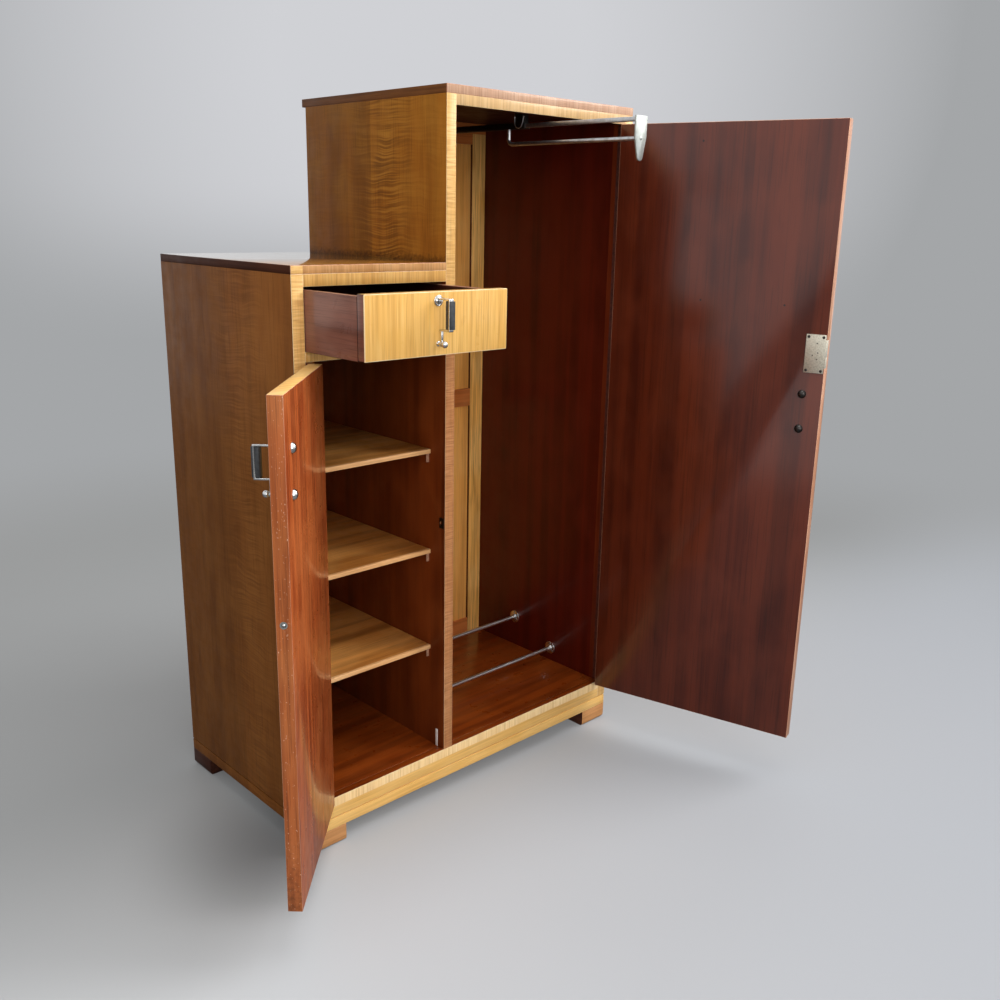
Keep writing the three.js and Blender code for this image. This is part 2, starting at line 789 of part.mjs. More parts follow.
// Short door, hinged on the left
const leftDoorZ = [floorTop + doorGap, drawerBoardFoot - doorGap];
const leftDoor = new THREE.Group();
wardrobe.add(leftDoor);
const leftAxisX = hinge('low', 1, sideThickness, leftDoorZ, leftDoor);
leftDoor.position.set(leftAxisX, -axisForward, 0);
leftDoor.rotation.z = -THREE.MathUtils.degToRad(leftDoorAngle);
const leftHung = new THREE.Group();
leftHung.position.set(-leftAxisX, axisForward, 0);
leftDoor.add(leftHung);
const leftDoorX = [sideThickness + hingeGap, lowWidth - doorGap];
const catchBore = bar(
  catchCaseRadius + seatGap,
  'x',
  [leftDoorX[1] - catchCaseLength - seatGap, leftDoorX[1] + cutOverrun],
  rodSides,
  [doorMiddle, catchLevel],
);
add(leftHung, 'door_low', cut(box(leftDoorX, [0, doorThickness], leftDoorZ), [catchBore]), 'mahogany');
handle(leftHung, 'door_low', leftDoorX[1] - leftHandleInset, 0, doorHandleLevel, -1);

// Ball catch in the free edge of the short door
const catchBlank = bar(
  catchCaseRadius,
  'x',
  [leftDoorX[1] - catchCaseLength, leftDoorX[1]],
  rodSides,
  [doorMiddle, catchLevel],
);
const catchHollow = bar(
  catchBoreRadius,
  'x',
  [leftDoorX[1] - catchCaseLength + catchFloor, leftDoorX[1] + cutOverrun],
  rodSides,
  [doorMiddle, catchLevel],
);
add(leftHung, 'catch_case', cut(catchBlank, [catchHollow]), 'brass');
const catchBall = new THREE.SphereGeometry(catchBallRadius, ballColumns, ballRows);
catchBall.translate(leftDoorX[1] + catchBallShow - catchBallRadius, doorMiddle, catchLevel);
add(leftHung, 'catch_ball', catchBall, 'steel');

// Tall door, hinged on the right
const rightDoorZ = [floorTop + doorGap, tallOpeningTop - doorGap];
const rightDoor = new THREE.Group();
wardrobe.add(rightDoor);
const rightAxisX = hinge('tall', -1, rightInner, rightDoorZ, rightDoor);
rightDoor.position.set(rightAxisX, -axisForward, 0);
rightDoor.rotation.z = THREE.MathUtils.degToRad(rightDoorAngle);
const rightHung = new THREE.Group();
rightHung.position.set(-rightAxisX, axisForward, 0);
rightDoor.add(rightHung);
const rightDoorX = [dividerRight + doorGap, rightInner - hingeGap];
const lockEdge = rightDoorX[0];
const lockBodyY = [doorThickness - lockBodyDepth, doorThickness + lockPlateThickness + seatGap];
const lockBodyZ = [lockLevel - lockBodyHeight / 2, lockLevel + lockBodyHeight / 2];
const lockMortise = box(
  [lockEdge - cutOverrun, lockEdge + lockBodyLength + seatGap],
  [lockBodyY[0] - seatGap, doorThickness + cutOverrun],
  [lockBodyZ[0] - seatGap, lockBodyZ[1] + seatGap],
);
add(rightHung, 'door_tall', cut(box(rightDoorX, [0, doorThickness], rightDoorZ), [lockMortise]), 'mahogany');
handle(rightHung, 'door_tall', lockEdge + rightHandleInset, 0, doorHandleLevel, 1);

// Cupboard lock with a sliding bolt
const lockPlate = box(
  [lockEdge + lockPlateInset, lockEdge + lockPlateInset + lockPlateWidth],
  [doorThickness + seatGap, doorThickness + seatGap + lockPlateThickness],
  [lockLevel - lockPlateHeight / 2, lockLevel + lockPlateHeight / 2],
);
const lockBody = box([lockEdge, lockEdge + lockBodyLength], lockBodyY, lockBodyZ);
const boltX = [lockEdge + boltSetback, lockEdge + boltSetback + boltLength];
const boltRun = box(
  [lockEdge - cutOverrun, boltX[1] + seatGap],
  [boltY[0] - seatGap, boltY[1] + seatGap],
  [boltZ[0] - seatGap, boltZ[1] + seatGap],
);
add(rightHung, 'lock_case', cut(join([lockPlate, lockBody]), [boltRun]), 'nickel');
add(rightHung, 'lock_bolt', box(boltX, boltY, boltZ), 'steel');

// Origin at the middle of the base of the whole part as it stands
wardrobe.updateMatrixWorld(true);
const bounds = new THREE.Box3().setFromObject(wardrobe, true);
const middle = bounds.getCenter(new THREE.Vector3());
const part = new THREE.Group();
wardrobe.position.set(-middle.x, -middle.y, -bounds.min.z);
part.add(wardrobe);
part.updateMatrixWorld(true);

export default part;
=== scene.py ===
"""Stepped chifforobe, dressed for the camera.

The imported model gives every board, hinge and rail its place. Here each board is
copied, its arrises are eased and its faces get their own veneer, and the small
fittings that the model leaves out are made: rosettes, screw heads, bolt heads,
the strike, the keeper and the wire hook.

Lengths in the classes are millimetres in the closed cabinet: x runs right from
the left side's outer face, y runs back from the front plane, z runs up from the
floor. A Setting takes them to the scene's metres.
"""

import json
import logging
import math
from dataclasses import dataclass, replace
from enum import Enum
from typing import Any, Callable, Sequence

import bmesh
import bpy
from mathutils import Matrix, Vector


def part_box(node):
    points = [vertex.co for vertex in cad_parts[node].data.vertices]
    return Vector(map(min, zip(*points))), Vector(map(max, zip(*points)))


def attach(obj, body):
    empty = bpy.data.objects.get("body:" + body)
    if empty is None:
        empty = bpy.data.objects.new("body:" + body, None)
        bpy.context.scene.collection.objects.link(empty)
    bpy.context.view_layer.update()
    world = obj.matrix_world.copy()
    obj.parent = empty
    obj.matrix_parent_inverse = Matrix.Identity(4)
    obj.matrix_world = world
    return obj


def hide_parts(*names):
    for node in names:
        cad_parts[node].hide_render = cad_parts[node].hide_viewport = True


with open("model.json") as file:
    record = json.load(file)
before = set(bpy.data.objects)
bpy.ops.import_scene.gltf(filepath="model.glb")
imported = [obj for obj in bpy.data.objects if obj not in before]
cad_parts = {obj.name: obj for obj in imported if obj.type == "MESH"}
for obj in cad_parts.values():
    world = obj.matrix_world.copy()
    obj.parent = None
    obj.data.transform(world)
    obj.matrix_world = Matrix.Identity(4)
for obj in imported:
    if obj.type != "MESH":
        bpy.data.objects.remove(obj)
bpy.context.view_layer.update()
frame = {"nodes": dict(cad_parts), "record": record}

log = logging.getLogger("chifforobe")
Point = tuple[float, float, float]
FaceTest = Callable[[Vector, Vector], bool]
BODY_OF = {
    name: body
    for body, names in frame["record"]["behaviour"]["bodies"].items()
    for name in names
}
SLOT_OF = {part["node"]: part["material_slot"] for part in frame["record"]["subparts"]}

# Left face of the wall between the sections, inner face of a shut door, depth of a front edge
WALL = 358.5
DOOR_FACE = 25.5
FRONT_EDGE = 1.2
# Beyond every part, for a test without a limit
FAR = 9e9


# Places


@dataclass(frozen=True)
class Setting:
    """Where a sub-assembly stands in the photograph.

    Attributes:
        pivot: x and y of the upright line that it turns about, in millimetres.
        turn: Turn about that line in degrees, positive seen from above to the left.
        slide: How far it is pulled towards the front, in millimetres.
    """

    pivot: tuple[float, float] = (0.0, 0.0)
    turn: float = 0.0
    slide: float = 0.0

    def matrix(self) -> Matrix:
        """Takes closed cabinet millimetres to scene metres.

        Returns:
            The matrix that does so.
        """
        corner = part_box("side_left")[0]
        there = Matrix.Translation((corner.x, corner.y, 0)) @ Matrix.Scale(0.001, 4)
        about = Matrix.Translation((*self.pivot, 0))
        turned = about @ Matrix.Rotation(math.radians(self.turn), 4, "Z") @ about.inverted()
        return there @ turned @ Matrix.Translation((0, -self.slide, 0))

    def place(self, x: float, y: float, z: float) -> Point:
        """Takes a point in closed cabinet millimetres to scene metres."""
        return tuple(self.matrix() @ Vector((x, y, z)))


CASE = Setting()
LOW_DOOR = Setting(pivot=(26.15, -2.8), turn=-134.0)
TALL_DOOR = Setting(pivot=(888.85, -2.8), turn=104.8)
DRAWER = Setting(slide=179.5)
HANGING_RAIL = Setting(slide=284.0)


# Colours and node trees

# Settings of nodes that are often used
SMOOTH = {"interpolation_type": "SMOOTHSTEP"}
RGBA = {"data_type": "RGBA"}
TIMES = {"operation": "MULTIPLY"}
DOT = {"out": "Value", "operation": "DOT_PRODUCT"}


def linear(colour: str) -> tuple[float, float, float, float]:
    """Turns an sRGB hex colour into the renderer's linear one.

    Args:
        colour: Six hex digits after a hash sign.

    Returns:
        Red, green, blue and an alpha of one.
    """
    parts = [int(colour[i : i + 2], 16) / 255 for i in (1, 3, 5)]
    lit = [c / 12.92 if c <= 0.04045 else ((c + 0.055) / 1.055) ** 2.4 for c in parts]
    return (*lit, 1.0)


def put(
    tree: bpy.types.NodeTree,
    kind: str,
    inputs: dict[Any, Any] | None = None,
    out: int | str = 0,
    **settings: Any,
) -> Any:
    """Adds a node with its settings and links.

    Args:
        tree: The node tree that gets it.
        kind: The node's type name without its ShaderNode.
        inputs: Socket name or number, with a value or the socket to link from.
        out: Number or name of the output that is wanted.
        **settings: Properties of the node itself.

    Returns:
        That output's socket, or None where the node has none.
    """
    new = tree.nodes.new("ShaderNode" + kind)
    for key, value in settings.items():
        setattr(new, key, value)
    for key, value in (inputs or {}).items():
        if isinstance(value, bpy.types.NodeSocket):
            tree.links.new(value, new.inputs[key])
        else:
            new.inputs[key].default_value = value
    return new.outputs[out] if new.outputs else None


def laid(
    tree: bpy.types.NodeTree, colour: Any, over: Any, value: Any,
    low: float, high: float, top: float = 1.0, within: Any = None,
) -> Any:
    """Lays a colour over another one, where a value goes from one mark to the next.

    Args:
        tree: The node tree.
        colour: What lies below.
        over: What is laid over it.
        value: The socket that gives the value.
        low: Mark at which it starts to show.
        high: Mark from which it shows most, above or below the first.
        top: Its greatest share.
        within: The socket of a second share, if there is one.

    Returns:
        The new colour's socket.
    """
    marks = {"Value": value, "From Min": low, "From Max": high, "To Max": top}
    share = put(tree, "MapRange", marks, **SMOOTH)
    if within:
        share = put(tree, "Math", {0: share, 1: within}, **TIMES)
    return put(tree, "Mix", {0: share, 6: colour, 7: over}, 2, **RGBA)


@dataclass(frozen=True)
class Finish:
    """What a surface is finished with.

    Attributes:
        name: Name of the material.
    """

    name: str

    def surface(self, tree: bpy.types.NodeTree) -> Any:
        """Puts the finish's nodes into a tree.

        Args:
            tree: The material's node tree, empty so far.

        Returns:
            The shader's socket.
        """
        raise NotImplementedError

    def material(self) -> bpy.types.Material:
        """Makes the material, or finds the one made before.

        Returns:
            The material.
        """
        made = bpy.data.materials.get(self.name)
        if not made:
            made = bpy.data.materials.new(self.name)
            made.use_nodes = True
            made.node_tree.nodes.clear()
            put(made.node_tree, "OutputMaterial", {"Surface": self.surface(made.node_tree)})
        return made


class Grain(Enum):
    """The direction in which the fibres of a board run."""

    ACROSS = 0
    BACK = 1
    UP = 2


class Figure(Enum):
    """The pattern that crosses or follows the grain of a veneer."""

    PLAIN = "plain"
    RIPPLE = "ripple"
    RIBBON = "ribbon"


@dataclass(frozen=True)
class Wood(Finish):
    """Varnished wood or veneer, sanded and sprayed or brushed.

    Attributes:
        ground: Main colour.
        shade: Colour of the darker growth bands.
        light: Colour where the figure catches the light.
        grain: Direction of the fibres.
        figure: Pattern of the veneer.
        pitch: Spacing of the figure in millimetres.
        strength: How far the figure moves the colour towards light and shade.
        swirl: How far the ripples drift up and down, in millimetres.
        ripple: Length of a ripple, as a multiple of its pitch.
        band: Width of a growth band in millimetres.
        banding: How far the bands move the colour towards shade.
        fibre: Width of a pore line in millimetres.
        pores: How dark the pore lines are.
        roughness: Roughness of the varnish.
        coat: Weight of the clear coat.
        gloss: Roughness of the clear coat.
        sheen_level: Specular level of the wood under it.
        leaf: Tone of the leaf behind the seam, where two leaves meet beside a strong figure.
        dirt: Foot and height in metres of a ragged strip that is darker at its foot, if there is
            one.
        specks: Places in scene metres of small dark holes.
        worn: Colour that shows through where the finish has chipped off.
        wear: Share of the surface that is chipped.
    """

    ground: str
    shade: str
    light: str
    grain: Grain = Grain.UP
    figure: Figure = Figure.PLAIN
    pitch: float = 10.0
    strength: float = 0.5
    swirl: float = 6.0
    ripple: float = 13.0
    band: float = 26.0
    banding: float = 0.6
    fibre: float = 4.0
    pores: float = 0.16
    roughness: float = 0.38
    coat: float = 0.2
    gloss: float = 0.12
    sheen_level: float = 0.15
    leaf: float | None = None
    dirt: tuple[float, float] | None = None
    specks: tuple[Point, ...] = ()
    worn: str | None = None
    wear: float = 0.0

    def like(self, name: str, ground: str, shade: str, light: str, **changes: Any) -> "Wood":
        """Gives the same wood another name and other colours, and changes what is listed."""
        return replace(self, name=name, ground=ground, shade=shade, light=light, **changes)

    def surface(self, tree: bpy.types.NodeTree) -> Any:
        """Lays bands, figure, pores and wear on the wood, under a clear coat.

        Args:
            tree: The material's node tree, empty so far.

        Returns:
            The shader's socket.
        """
        place = put(tree, "TexCoord", out="Object")
        axes = put(tree, "SeparateXYZ", {"Vector": place}).node.outputs

        def noise(across: float, along: float, detail: float, where: Any = place) -> Any:
            """Makes a noise of a real size, two cells to a feature.

            Args:
                across: Width of a feature in millimetres.
                along: Its length along the fibres in millimetres.
                detail: How many finer layers it has.
                where: The socket with the place, which may be bent.

            Returns:
                The noise's socket.
            """
            scale = [2000.0 / across] * 3
            scale[self.grain.value] = 2000.0 / along
            spot = put(tree, "Mapping", {"Vector": where, "Scale": scale})
            cells = {"Vector": spot, "Scale": 1.0, "Detail": detail, "Distortion": 0.2}
            return put(tree, "TexNoise", cells)

        ground, shade, light = linear(self.ground), linear(self.shade), linear(self.light)
        bands = noise(self.band, self.band * 34, 3.0)
        colour = laid(tree, ground, shade, bands, 0.36, 0.66, self.banding)
        colour = laid(tree, colour, light, noise(150.0, 260.0, 2.0), 0.35, 0.68, 0.30)
        if self.figure is not Figure.PLAIN:
            marks = {"From Min": 0.32, "From Max": 0.62, "To Min": 0.45}
            patches = put(tree, "MapRange", {"Value": noise(75.0, 130.0, 1.0), **marks}, **SMOOTH)
            if self.leaf:
                away = put(tree, "Math", {0: axes["Y"], 1: FIGURE_MIDDLE}, operation="SUBTRACT")
                away = put(tree, "Math", {0: away}, operation="ABSOLUTE")
                marks = {"From Max": FIGURE_REACH, "To Min": 1.0, "To Max": 0.16}
                near = put(tree, "MapRange", {"Value": away, **marks}, **SMOOTH)
                patches = put(tree, "Math", {0: patches, 1: near}, **TIMES)
            if self.figure is Figure.RIPPLE:
                drift = [0.0] * 3
                drift[self.grain.value] = self.swirl / 1000
                shift = {0: drift, "Scale": noise(190.0, 190.0, 1.0)}
                shift = put(tree, "VectorMath", shift, operation="SCALE")
                bent = put(tree, "VectorMath", {0: place, 1: shift}, operation="ADD")
                waves = noise(self.pitch * self.ripple, self.pitch, 0.4, bent)
            else:
                waves = noise(self.pitch, self.pitch * 60, 3.0)
            colour = laid(tree, colour, light, waves, 0.50, 0.66, self.strength, patches)
            colour = laid(tree, colour, shade, waves, 0.50, 0.36, self.strength, patches)
            if self.figure is Figure.RIPPLE:
                threads = noise(self.pitch * self.ripple * 1.3, self.pitch * 0.5, 1.0, bent)
                colour = laid(tree, colour, shade, threads, 0.5, 0.38, self.strength * 0.8, patches)
        if self.leaf:
            dark = put(tree, "VectorMath", {0: colour, "Scale": self.leaf}, operation="SCALE")
            marks = (LEAF_SEAM - SEAM_WIDTH / 2, LEAF_SEAM + SEAM_WIDTH / 2)
            colour = laid(tree, colour, dark, axes["Y"], *marks)
        height = noise(self.fibre, self.fibre * 46, 2.0)
        colour = laid(tree, colour, PORE, height, 0.50, 0.30, self.pores)
        # A ragged strip, darkest at its foot and fading out a little above it
        if self.dirt:
            foot, tall = self.dirt
            ragged = put(tree, "Math", {0: noise(14.0, 14.0, 3.0), 1: tall}, **TIMES)
            edge = put(tree, "Math", {0: ragged, 1: axes["Z"]}, operation="SUBTRACT")
            marks = (-foot - tall * 0.1, -foot + tall * 0.6)
            colour = laid(tree, colour, STRIP_DARK, edge, *marks, 0.62)
        for speck in self.specks:
            apart = put(tree, "VectorMath", {0: place, 1: speck}, "Value", operation="DISTANCE")
            colour = laid(tree, colour, HOLE, apart, 0.0028, 0.0018)
        rough = put(
            tree, "MapRange",
            {
                "Value": noise(60.0, 60.0, 3.0), "From Min": 0.3, "From Max": 0.7,
                "To Min": self.roughness - 0.05, "To Max": self.roughness + 0.07,
            },
            **SMOOTH,
        )
        if self.worn:
            marks = {"From Min": 0.72 - self.wear, "From Max": 0.74 - self.wear}
            chips = put(tree, "MapRange", {"Value": noise(5.0, 9.0, 4.0), **marks}, **SMOOTH)
            colour = put(tree, "Mix", {0: chips, 6: colour, 7: linear(self.worn)}, 2, **RGBA)
            rougher = put(tree, "Math", {0: chips, 1: 0.3}, **TIMES)
            rough = put(tree, "Math", {0: rougher, 1: rough}, operation="ADD")
        relief = {"Height": height, "Strength": 0.10, "Distance": 0.0004}
        return put(
            tree, "BsdfPrincipled",
            {
                "Base Color": colour, "Roughness": rough, "Normal": put(tree, "Bump", relief),
                "Specular IOR Level": self.sheen_level,
                "Coat Weight": self.coat, "Coat Roughness": self.gloss,
            },
        )


@dataclass(frozen=True)
class Metal(Finish):
    """Plated or bare metal with fine wear.

    Attributes:
        bright: Colour of the polished parts.
        dull: Colour where it is tarnished.
        roughness: Roughness of the polished parts.
        wear: How much rougher the tarnish is.
        grit: Size of the tarnish spots in millimetres.
        metallic: 1 for bare or plated metal, 0 for black composition or paint.
    """

    bright: str
    dull: str
    roughness: float
    wear: float
    grit: float
    metallic: float = 1.0

    def surface(self, tree: bpy.types.NodeTree) -> Any:
        """Spreads spots of tarnish over the bright metal.

        Args:
            tree: The material's node tree, empty so far.

        Returns:
            The shader's socket.
        """
        place = put(tree, "TexCoord", out="Object")
        size = {"Scale": 1000.0 / self.grit, "Detail": 4.0, "Roughness": 0.62}
        spots = put(tree, "TexNoise", {"Vector": place, **size})
        share = put(tree, "MapRange", {"Value": spots, "From Min": 0.42, "From Max": 0.70})
        tones = {6: linear(self.bright), 7: linear(self.dull)}
        marks = {"To Min": self.roughness, "To Max": self.roughness + self.wear}
        relief = {"Height": spots, "Strength": 0.02, "Distance": 0.0002}
        return put(
            tree, "BsdfPrincipled",
            {
                "Base Color": put(tree, "Mix", {0: share, **tones}, 2, **RGBA),
                "Roughness": put(tree, "MapRange", {"Value": share, **marks}),
                "Normal": put(tree, "Bump", relief), "Metallic": self.metallic,
            },
        )


# Where the two leaves of a side meet, how wide that line is, and the middle and the reach of
# the strong figure in front of it, in metres
LEAF_SEAM = CASE.place(WALL, 246, 0)[1]
SEAM_WIDTH = 0.0012
FIGURE_MIDDLE = LEAF_SEAM - 0.045
FIGURE_REACH = 0.125
LOW_TOP_FACE = 1.193
# What is dark on wood: open pores, the darker strips and nail holes
PORE, STRIP_DARK, HOLE = linear("#1c0d06"), linear("#2a1608"), linear("#1a0705")
NAIL_HOLES = tuple(
    TALL_DOOR.place(x, DOOR_FACE, z) for x, z in ((690.0, 1450.0), (672.0, 1113.0), (482.0, 1113.0))
)

# Figured satinwood, sliced and glued upright: narrow yellow ribbons
DRAWER_FACE = Wood(
    "satinwood veneer, upright ribbon", "#dfaa59", "#b5823c", "#ecc278", figure=Figure.RIBBON,
    pitch=4.5, strength=0.4, band=36, banding=0.25, roughness=0.32, coat=0.3,
)
# The same veneer laid with its fibres upright on the rails, so short stripes cross them
RAIL_FACE = DRAWER_FACE.like(
    "satinwood veneer, rail crossbanding", "#d19b52", "#a9763a", "#e3b972",
    pitch=7.0, strength=0.45, band=60,
)
# Bleached under the tall top
RAIL_PALE = RAIL_FACE.like(
    "satinwood veneer, rail crossbanding, faded", "#cfa873", "#ab8455", "#e1c396", strength=0.4
)
# Painted light: paler on the base rail, painted as if lit though the open tall door shades it
BASE_BAND_PAINTED_LIGHT = RAIL_FACE.like(
    "satinwood veneer, base crossbanding, painted light", "#f5cf94", "#c9995f", "#fadfae", pitch=4.5, strength=0.5
)
# Long plain satinwood below the crossbanding
RAIL_PLAIN = Wood(
    "satinwood veneer, plain strip", "#ecb865", "#c38d49", "#f7d08a",
    Grain.ACROSS, band=14, banding=0.4, roughness=0.34, coat=0.3,
)
# Board edges: fiddleback ripples lie across them like rungs
STILE_FACE = Wood(
    "satinwood edge veneer, fiddleback", "#e3b066", "#b8834a", "#f4ce8e", figure=Figure.RIPPLE,
    pitch=6.5, strength=0.42, band=30, banding=0.25, roughness=0.34, coat=0.3,
)
# Below the drawer the wall's edge has a pinker strip, painted darker too as painted shade from the
# open tall door
STILE_LOW_PINK_AND_SHADED = STILE_FACE.like(
    "satinwood edge veneer, pink, painted shade", "#bd7d4b", "#925b35", "#d19a6b",
    pitch=7.0, banding=0.3, roughness=0.36, coat=0.25,
)
# Outer sides: two leaves with fiddleback ripples next to the seam, toned amber, darker just above
# the low top
TALL_SIDE = Wood(
    "amber satinwood veneer, two leaves", "#a0611c", "#60370e", "#bb8030", figure=Figure.RIPPLE,
    pitch=7.5, strength=0.48, swirl=34.0, ripple=26.0, band=90, banding=0.4, pores=0.24,
    roughness=0.42, coat=0.02, sheen_level=0.04, leaf=0.80, dirt=(LOW_TOP_FACE, 0.03),
)
# In the lower leaf the ripples nearly fade away
LOW_SIDE = TALL_SIDE.like(
    "amber satinwood veneer, low side", "#8b5425", "#5a3014", "#a36a34",
    strength=0.26, leaf=0.86, dirt=None,
)
# The tops were polished last and most: they mirror the room
TOP_FACE = Wood(
    "amber satinwood veneer, top", "#a8722f", "#7d5020", "#c28d48", Grain.ACROSS, Figure.RIPPLE,
    11.0, 0.3, band=60, banding=0.4, roughness=0.2, coat=1.0, gloss=0.05, sheen_level=0.4,
)
# Edge banding of the tops: short reddish fibres standing upright
TOP_BAND = Wood(
    "mahogany crossbanding", "#c38d55", "#976536", "#dcae7c", figure=Figure.RIBBON,
    pitch=5.0, strength=0.35, band=40, banding=0.35, roughness=0.34, coat=0.3,
)
# Bleached by the sun on the tall top
TOP_BAND_PALE = TOP_BAND.like(
    "mahogany crossbanding, faded", "#bf967a", "#986c4d", "#d5b69c", banding=0.3
)
# Side edges of the tops: dark solid mahogany
TOP_EDGE = Wood(
    "mahogany, dark polished edge", "#744620", "#4a2914", "#8e5c34",
    Grain.BACK, band=16, roughness=0.4, coat=0.05, sheen_level=0.05,
)
# Painted shade: the low top's end gets a near black copy of the edge, for the shade of the room
# that it stands in
TOP_EDGE_PAINTED_SHADE = TOP_EDGE.like(
    "mahogany edge, painted shade", "#492718", "#2c150c", "#603624", coat=0.0, sheen_level=0.04
)
# Sliced mahogany under worn varnish: daylight turns it orange red, and its open pores show
LOW_DOOR_FACE = Wood(
    "mahogany veneer, lit red", "#ae5528", "#762e14", "#d27c43",
    band=22, banding=0.85, fibre=5.0, pores=0.4, roughness=0.32, coat=0.4,
)
# Planed lipping: keys have chipped its varnish down to pale wood, and it grows darker towards its
# foot
LOW_DOOR_EDGE = Wood(
    "mahogany lipping, chipped", "#b3602f", "#86401c", "#cb824c",
    band=16, fibre=5.0, pores=0.35, dirt=(0.0, 0.45), worn="#e3b497", wear=0.045,
)
# The lipping on a door's end is satinwood, so it stays yellow beside the red face
DOOR_TOP_EDGE = Wood(
    "satinwood lipping, door end", "#f3bf70", "#cc9350", "#fbd99b",
    Grain.ACROSS, band=24, banding=0.4,
)
# Sliced mahogany, stained and polished: nearly black red, with a broad soft gloss
TALL_DOOR_FACE = Wood(
    "mahogany veneer, dark red", "#5c2310", "#381108", "#70321c", band=80, banding=0.75,
    fibre=6.0, pores=0.3, roughness=0.34, coat=0.85, gloss=0.2, specks=NAIL_HOLES,
)
# Planed lipping without stain: a light rose line beside the dark face
TALL_DOOR_EDGE = Wood(
    "mahogany lipping", "#bd8462", "#935637", "#dbae92",
    band=20, banding=0.5, roughness=0.36, coat=0.25,
)
# The best leaves are on the fronts: broad yellow ribbons under a fresher varnish
DOOR_OUTSIDE = Wood(
    "satinwood veneer, door front", "#dba75a", "#b07b3b", "#edc480", figure=Figure.RIBBON,
    pitch=8.0, strength=0.6, band=88, banding=0.4, roughness=0.27, coat=0.5,
)
# Varnish rubbed off the arrises leaves a thin pale line
ARRIS = Wood(
    "rubbed arris, satinwood", "#f5dbac", "#d8ad70", "#fbe8c6", band=28, roughness=0.45, coat=0.1
)
# On mahogany the rubbed line is pink
ARRIS_RED = ARRIS.like(
    "rubbed arris, mahogany", "#d8a181", "#a06040", "#f0cab0", band=36, banding=0.8
)
# Stained veneer in the shade: warm brown with hardly any gloss
CUPBOARD_SIDE = Wood(
    "mahogany-stained veneer, cupboard", "#763410", "#4b1d08", "#8d451c",
    band=70, roughness=0.4, coat=0.12,
)
# Thin plywood takes the stain less evenly, so it is streaky; it is also painted lighter than the
# sides, as painted light in the shaded cupboard
CUPBOARD_BACK_PAINTED_LIGHT = CUPBOARD_SIDE.like("mahogany-stained plywood, painted light", "#c47338", "#915022", "#d58a4a")
# Painted shade: the undersides of the tops and rails are painted nearly black
UNDERSIDE_PAINTED_SHADE = Wood(
    "stained underside, painted shade", "#3a150a", "#240c05", "#4c1f10",
    Grain.ACROSS, band=60, banding=0.5, roughness=0.5, coat=0.05,
)
# The same stain on a redder leaf
HANGING_SIDE = CUPBOARD_SIDE.like(
    "mahogany-stained veneer, hanging side", "#5c1607", "#390b03", "#6b2112", coat=0.1
)
# Painted light: a lighter strip of the same stain at the front of the hanging side's inner face,
# where more light comes in
HANGING_STRIP_PAINTED_LIGHT = HANGING_SIDE.like(
    "mahogany strip beside the hinge, painted light", "#742b12", "#521b0a", "#8a3e1c", band=30, banding=0.5
)
# Planed board, worn smooth by shoes: orange streaks and a low gloss
FLOOR_FACE = Wood(
    "mahogany-stained floor board", "#7c340b", "#531f06", "#9a4d1b",
    Grain.ACROSS, band=44, banding=0.7, pores=0.25, roughness=0.32, coat=0.35,
)
# Rotary-cut plywood: long wavy golden figure across the shelf
SHELF_FACE = Wood(
    "golden plywood, varnished", "#dc9448", "#975a23", "#eeb267",
    Grain.ACROSS, band=75, banding=0.8, pores=0.3, roughness=0.36,
)
# A thin sawn strip, light and plain
SHELF_LIP = Wood(
    "satinwood shelf lipping", "#e2ab72", "#bb7f4a", "#f1c591",
    Grain.ACROSS, band=10, banding=0.4, roughness=0.36, coat=0.25,
)
# Crown-cut leaf under varnish: golden bands that the light catches
BACK_FACE = Wood(
    "figured back panel", "#f1a854", "#b57332", "#f8bd72", band=36, banding=0.5, coat=0.15
)
# Sawn frame wood: open streaky pores on yellow
BACK_STILE = Wood(
    "light back stile", "#f5b45c", "#a87034", "#fccf86", band=14, pores=0.45, coat=0.15
)
# Painted shade: the stiles' faces in the groove beside the panel are painted nearly black, as
# hardly any light is left there
BACK_GROOVE_PAINTED_SHADE = ARRIS.like("back stile, inner edge, painted shade", "#5a2a10", "#3d1a09", "#6e3a1a", band=14)
# Planed mahogany rail: even red brown between the golden panels
BACK_RAIL = Wood(
    "mahogany back rail", "#c06c33", "#8a4521", "#d4864e",
    Grain.ACROSS, band=24, banding=0.5, coat=0.15,
)
# Planed and waxed mahogany: purplish brown with pale rubs where it slides
DRAWER_SIDE = Wood(
    "mahogany drawer side", "#854d39", "#5f3021", "#bb8f7b",
    Grain.BACK, band=40, pores=0.25, roughness=0.32, coat=0.4,
)
# Unpolished inside: dull and nearly black
DRAWER_INSIDE = Wood(
    "mahogany drawer, inside", "#3c1a10", "#260d08", "#51281a", Grain.BACK, band=40, roughness=0.42
)
# Sawn block, varnished with the front: warm and plain
FOOT_FACE = Wood(
    "satinwood block foot", "#bf8550", "#925a30", "#d6a26c", Grain.ACROSS, band=16
)
# The blocks' other faces, and all faces of the back feet, are dark
FOOT_DARK = Wood("mahogany block foot", "#4c281a", "#2f1610", "#643a27", Grain.BACK, band=16)

# Electroplated over polished brass: mirror bright, with greyish wear
CHROME = Metal("chrome plate, polished and worn", "#dcdddd", "#b5b2ac", 0.16, 0.14, 6.0)
# Drawn rod, a little dulled by hangers: long soft highlights
STEEL_ROD = Metal("bright steel rod", "#c4c4c5", "#a3a09d", 0.34, 0.08, 14.0)
# Plated tube without wear: nearly white on top
RAIL_STEEL = Metal("bright drawn tube", "#ececec", "#d8d6d3", 0.28, 0.05, 14.0)
# Brushed before plating: grey with a wide highlight
NICKEL = Metal("nickel plate, satin", "#b3b7b3", "#9fa29b", 0.42, 0.1, 12.0)
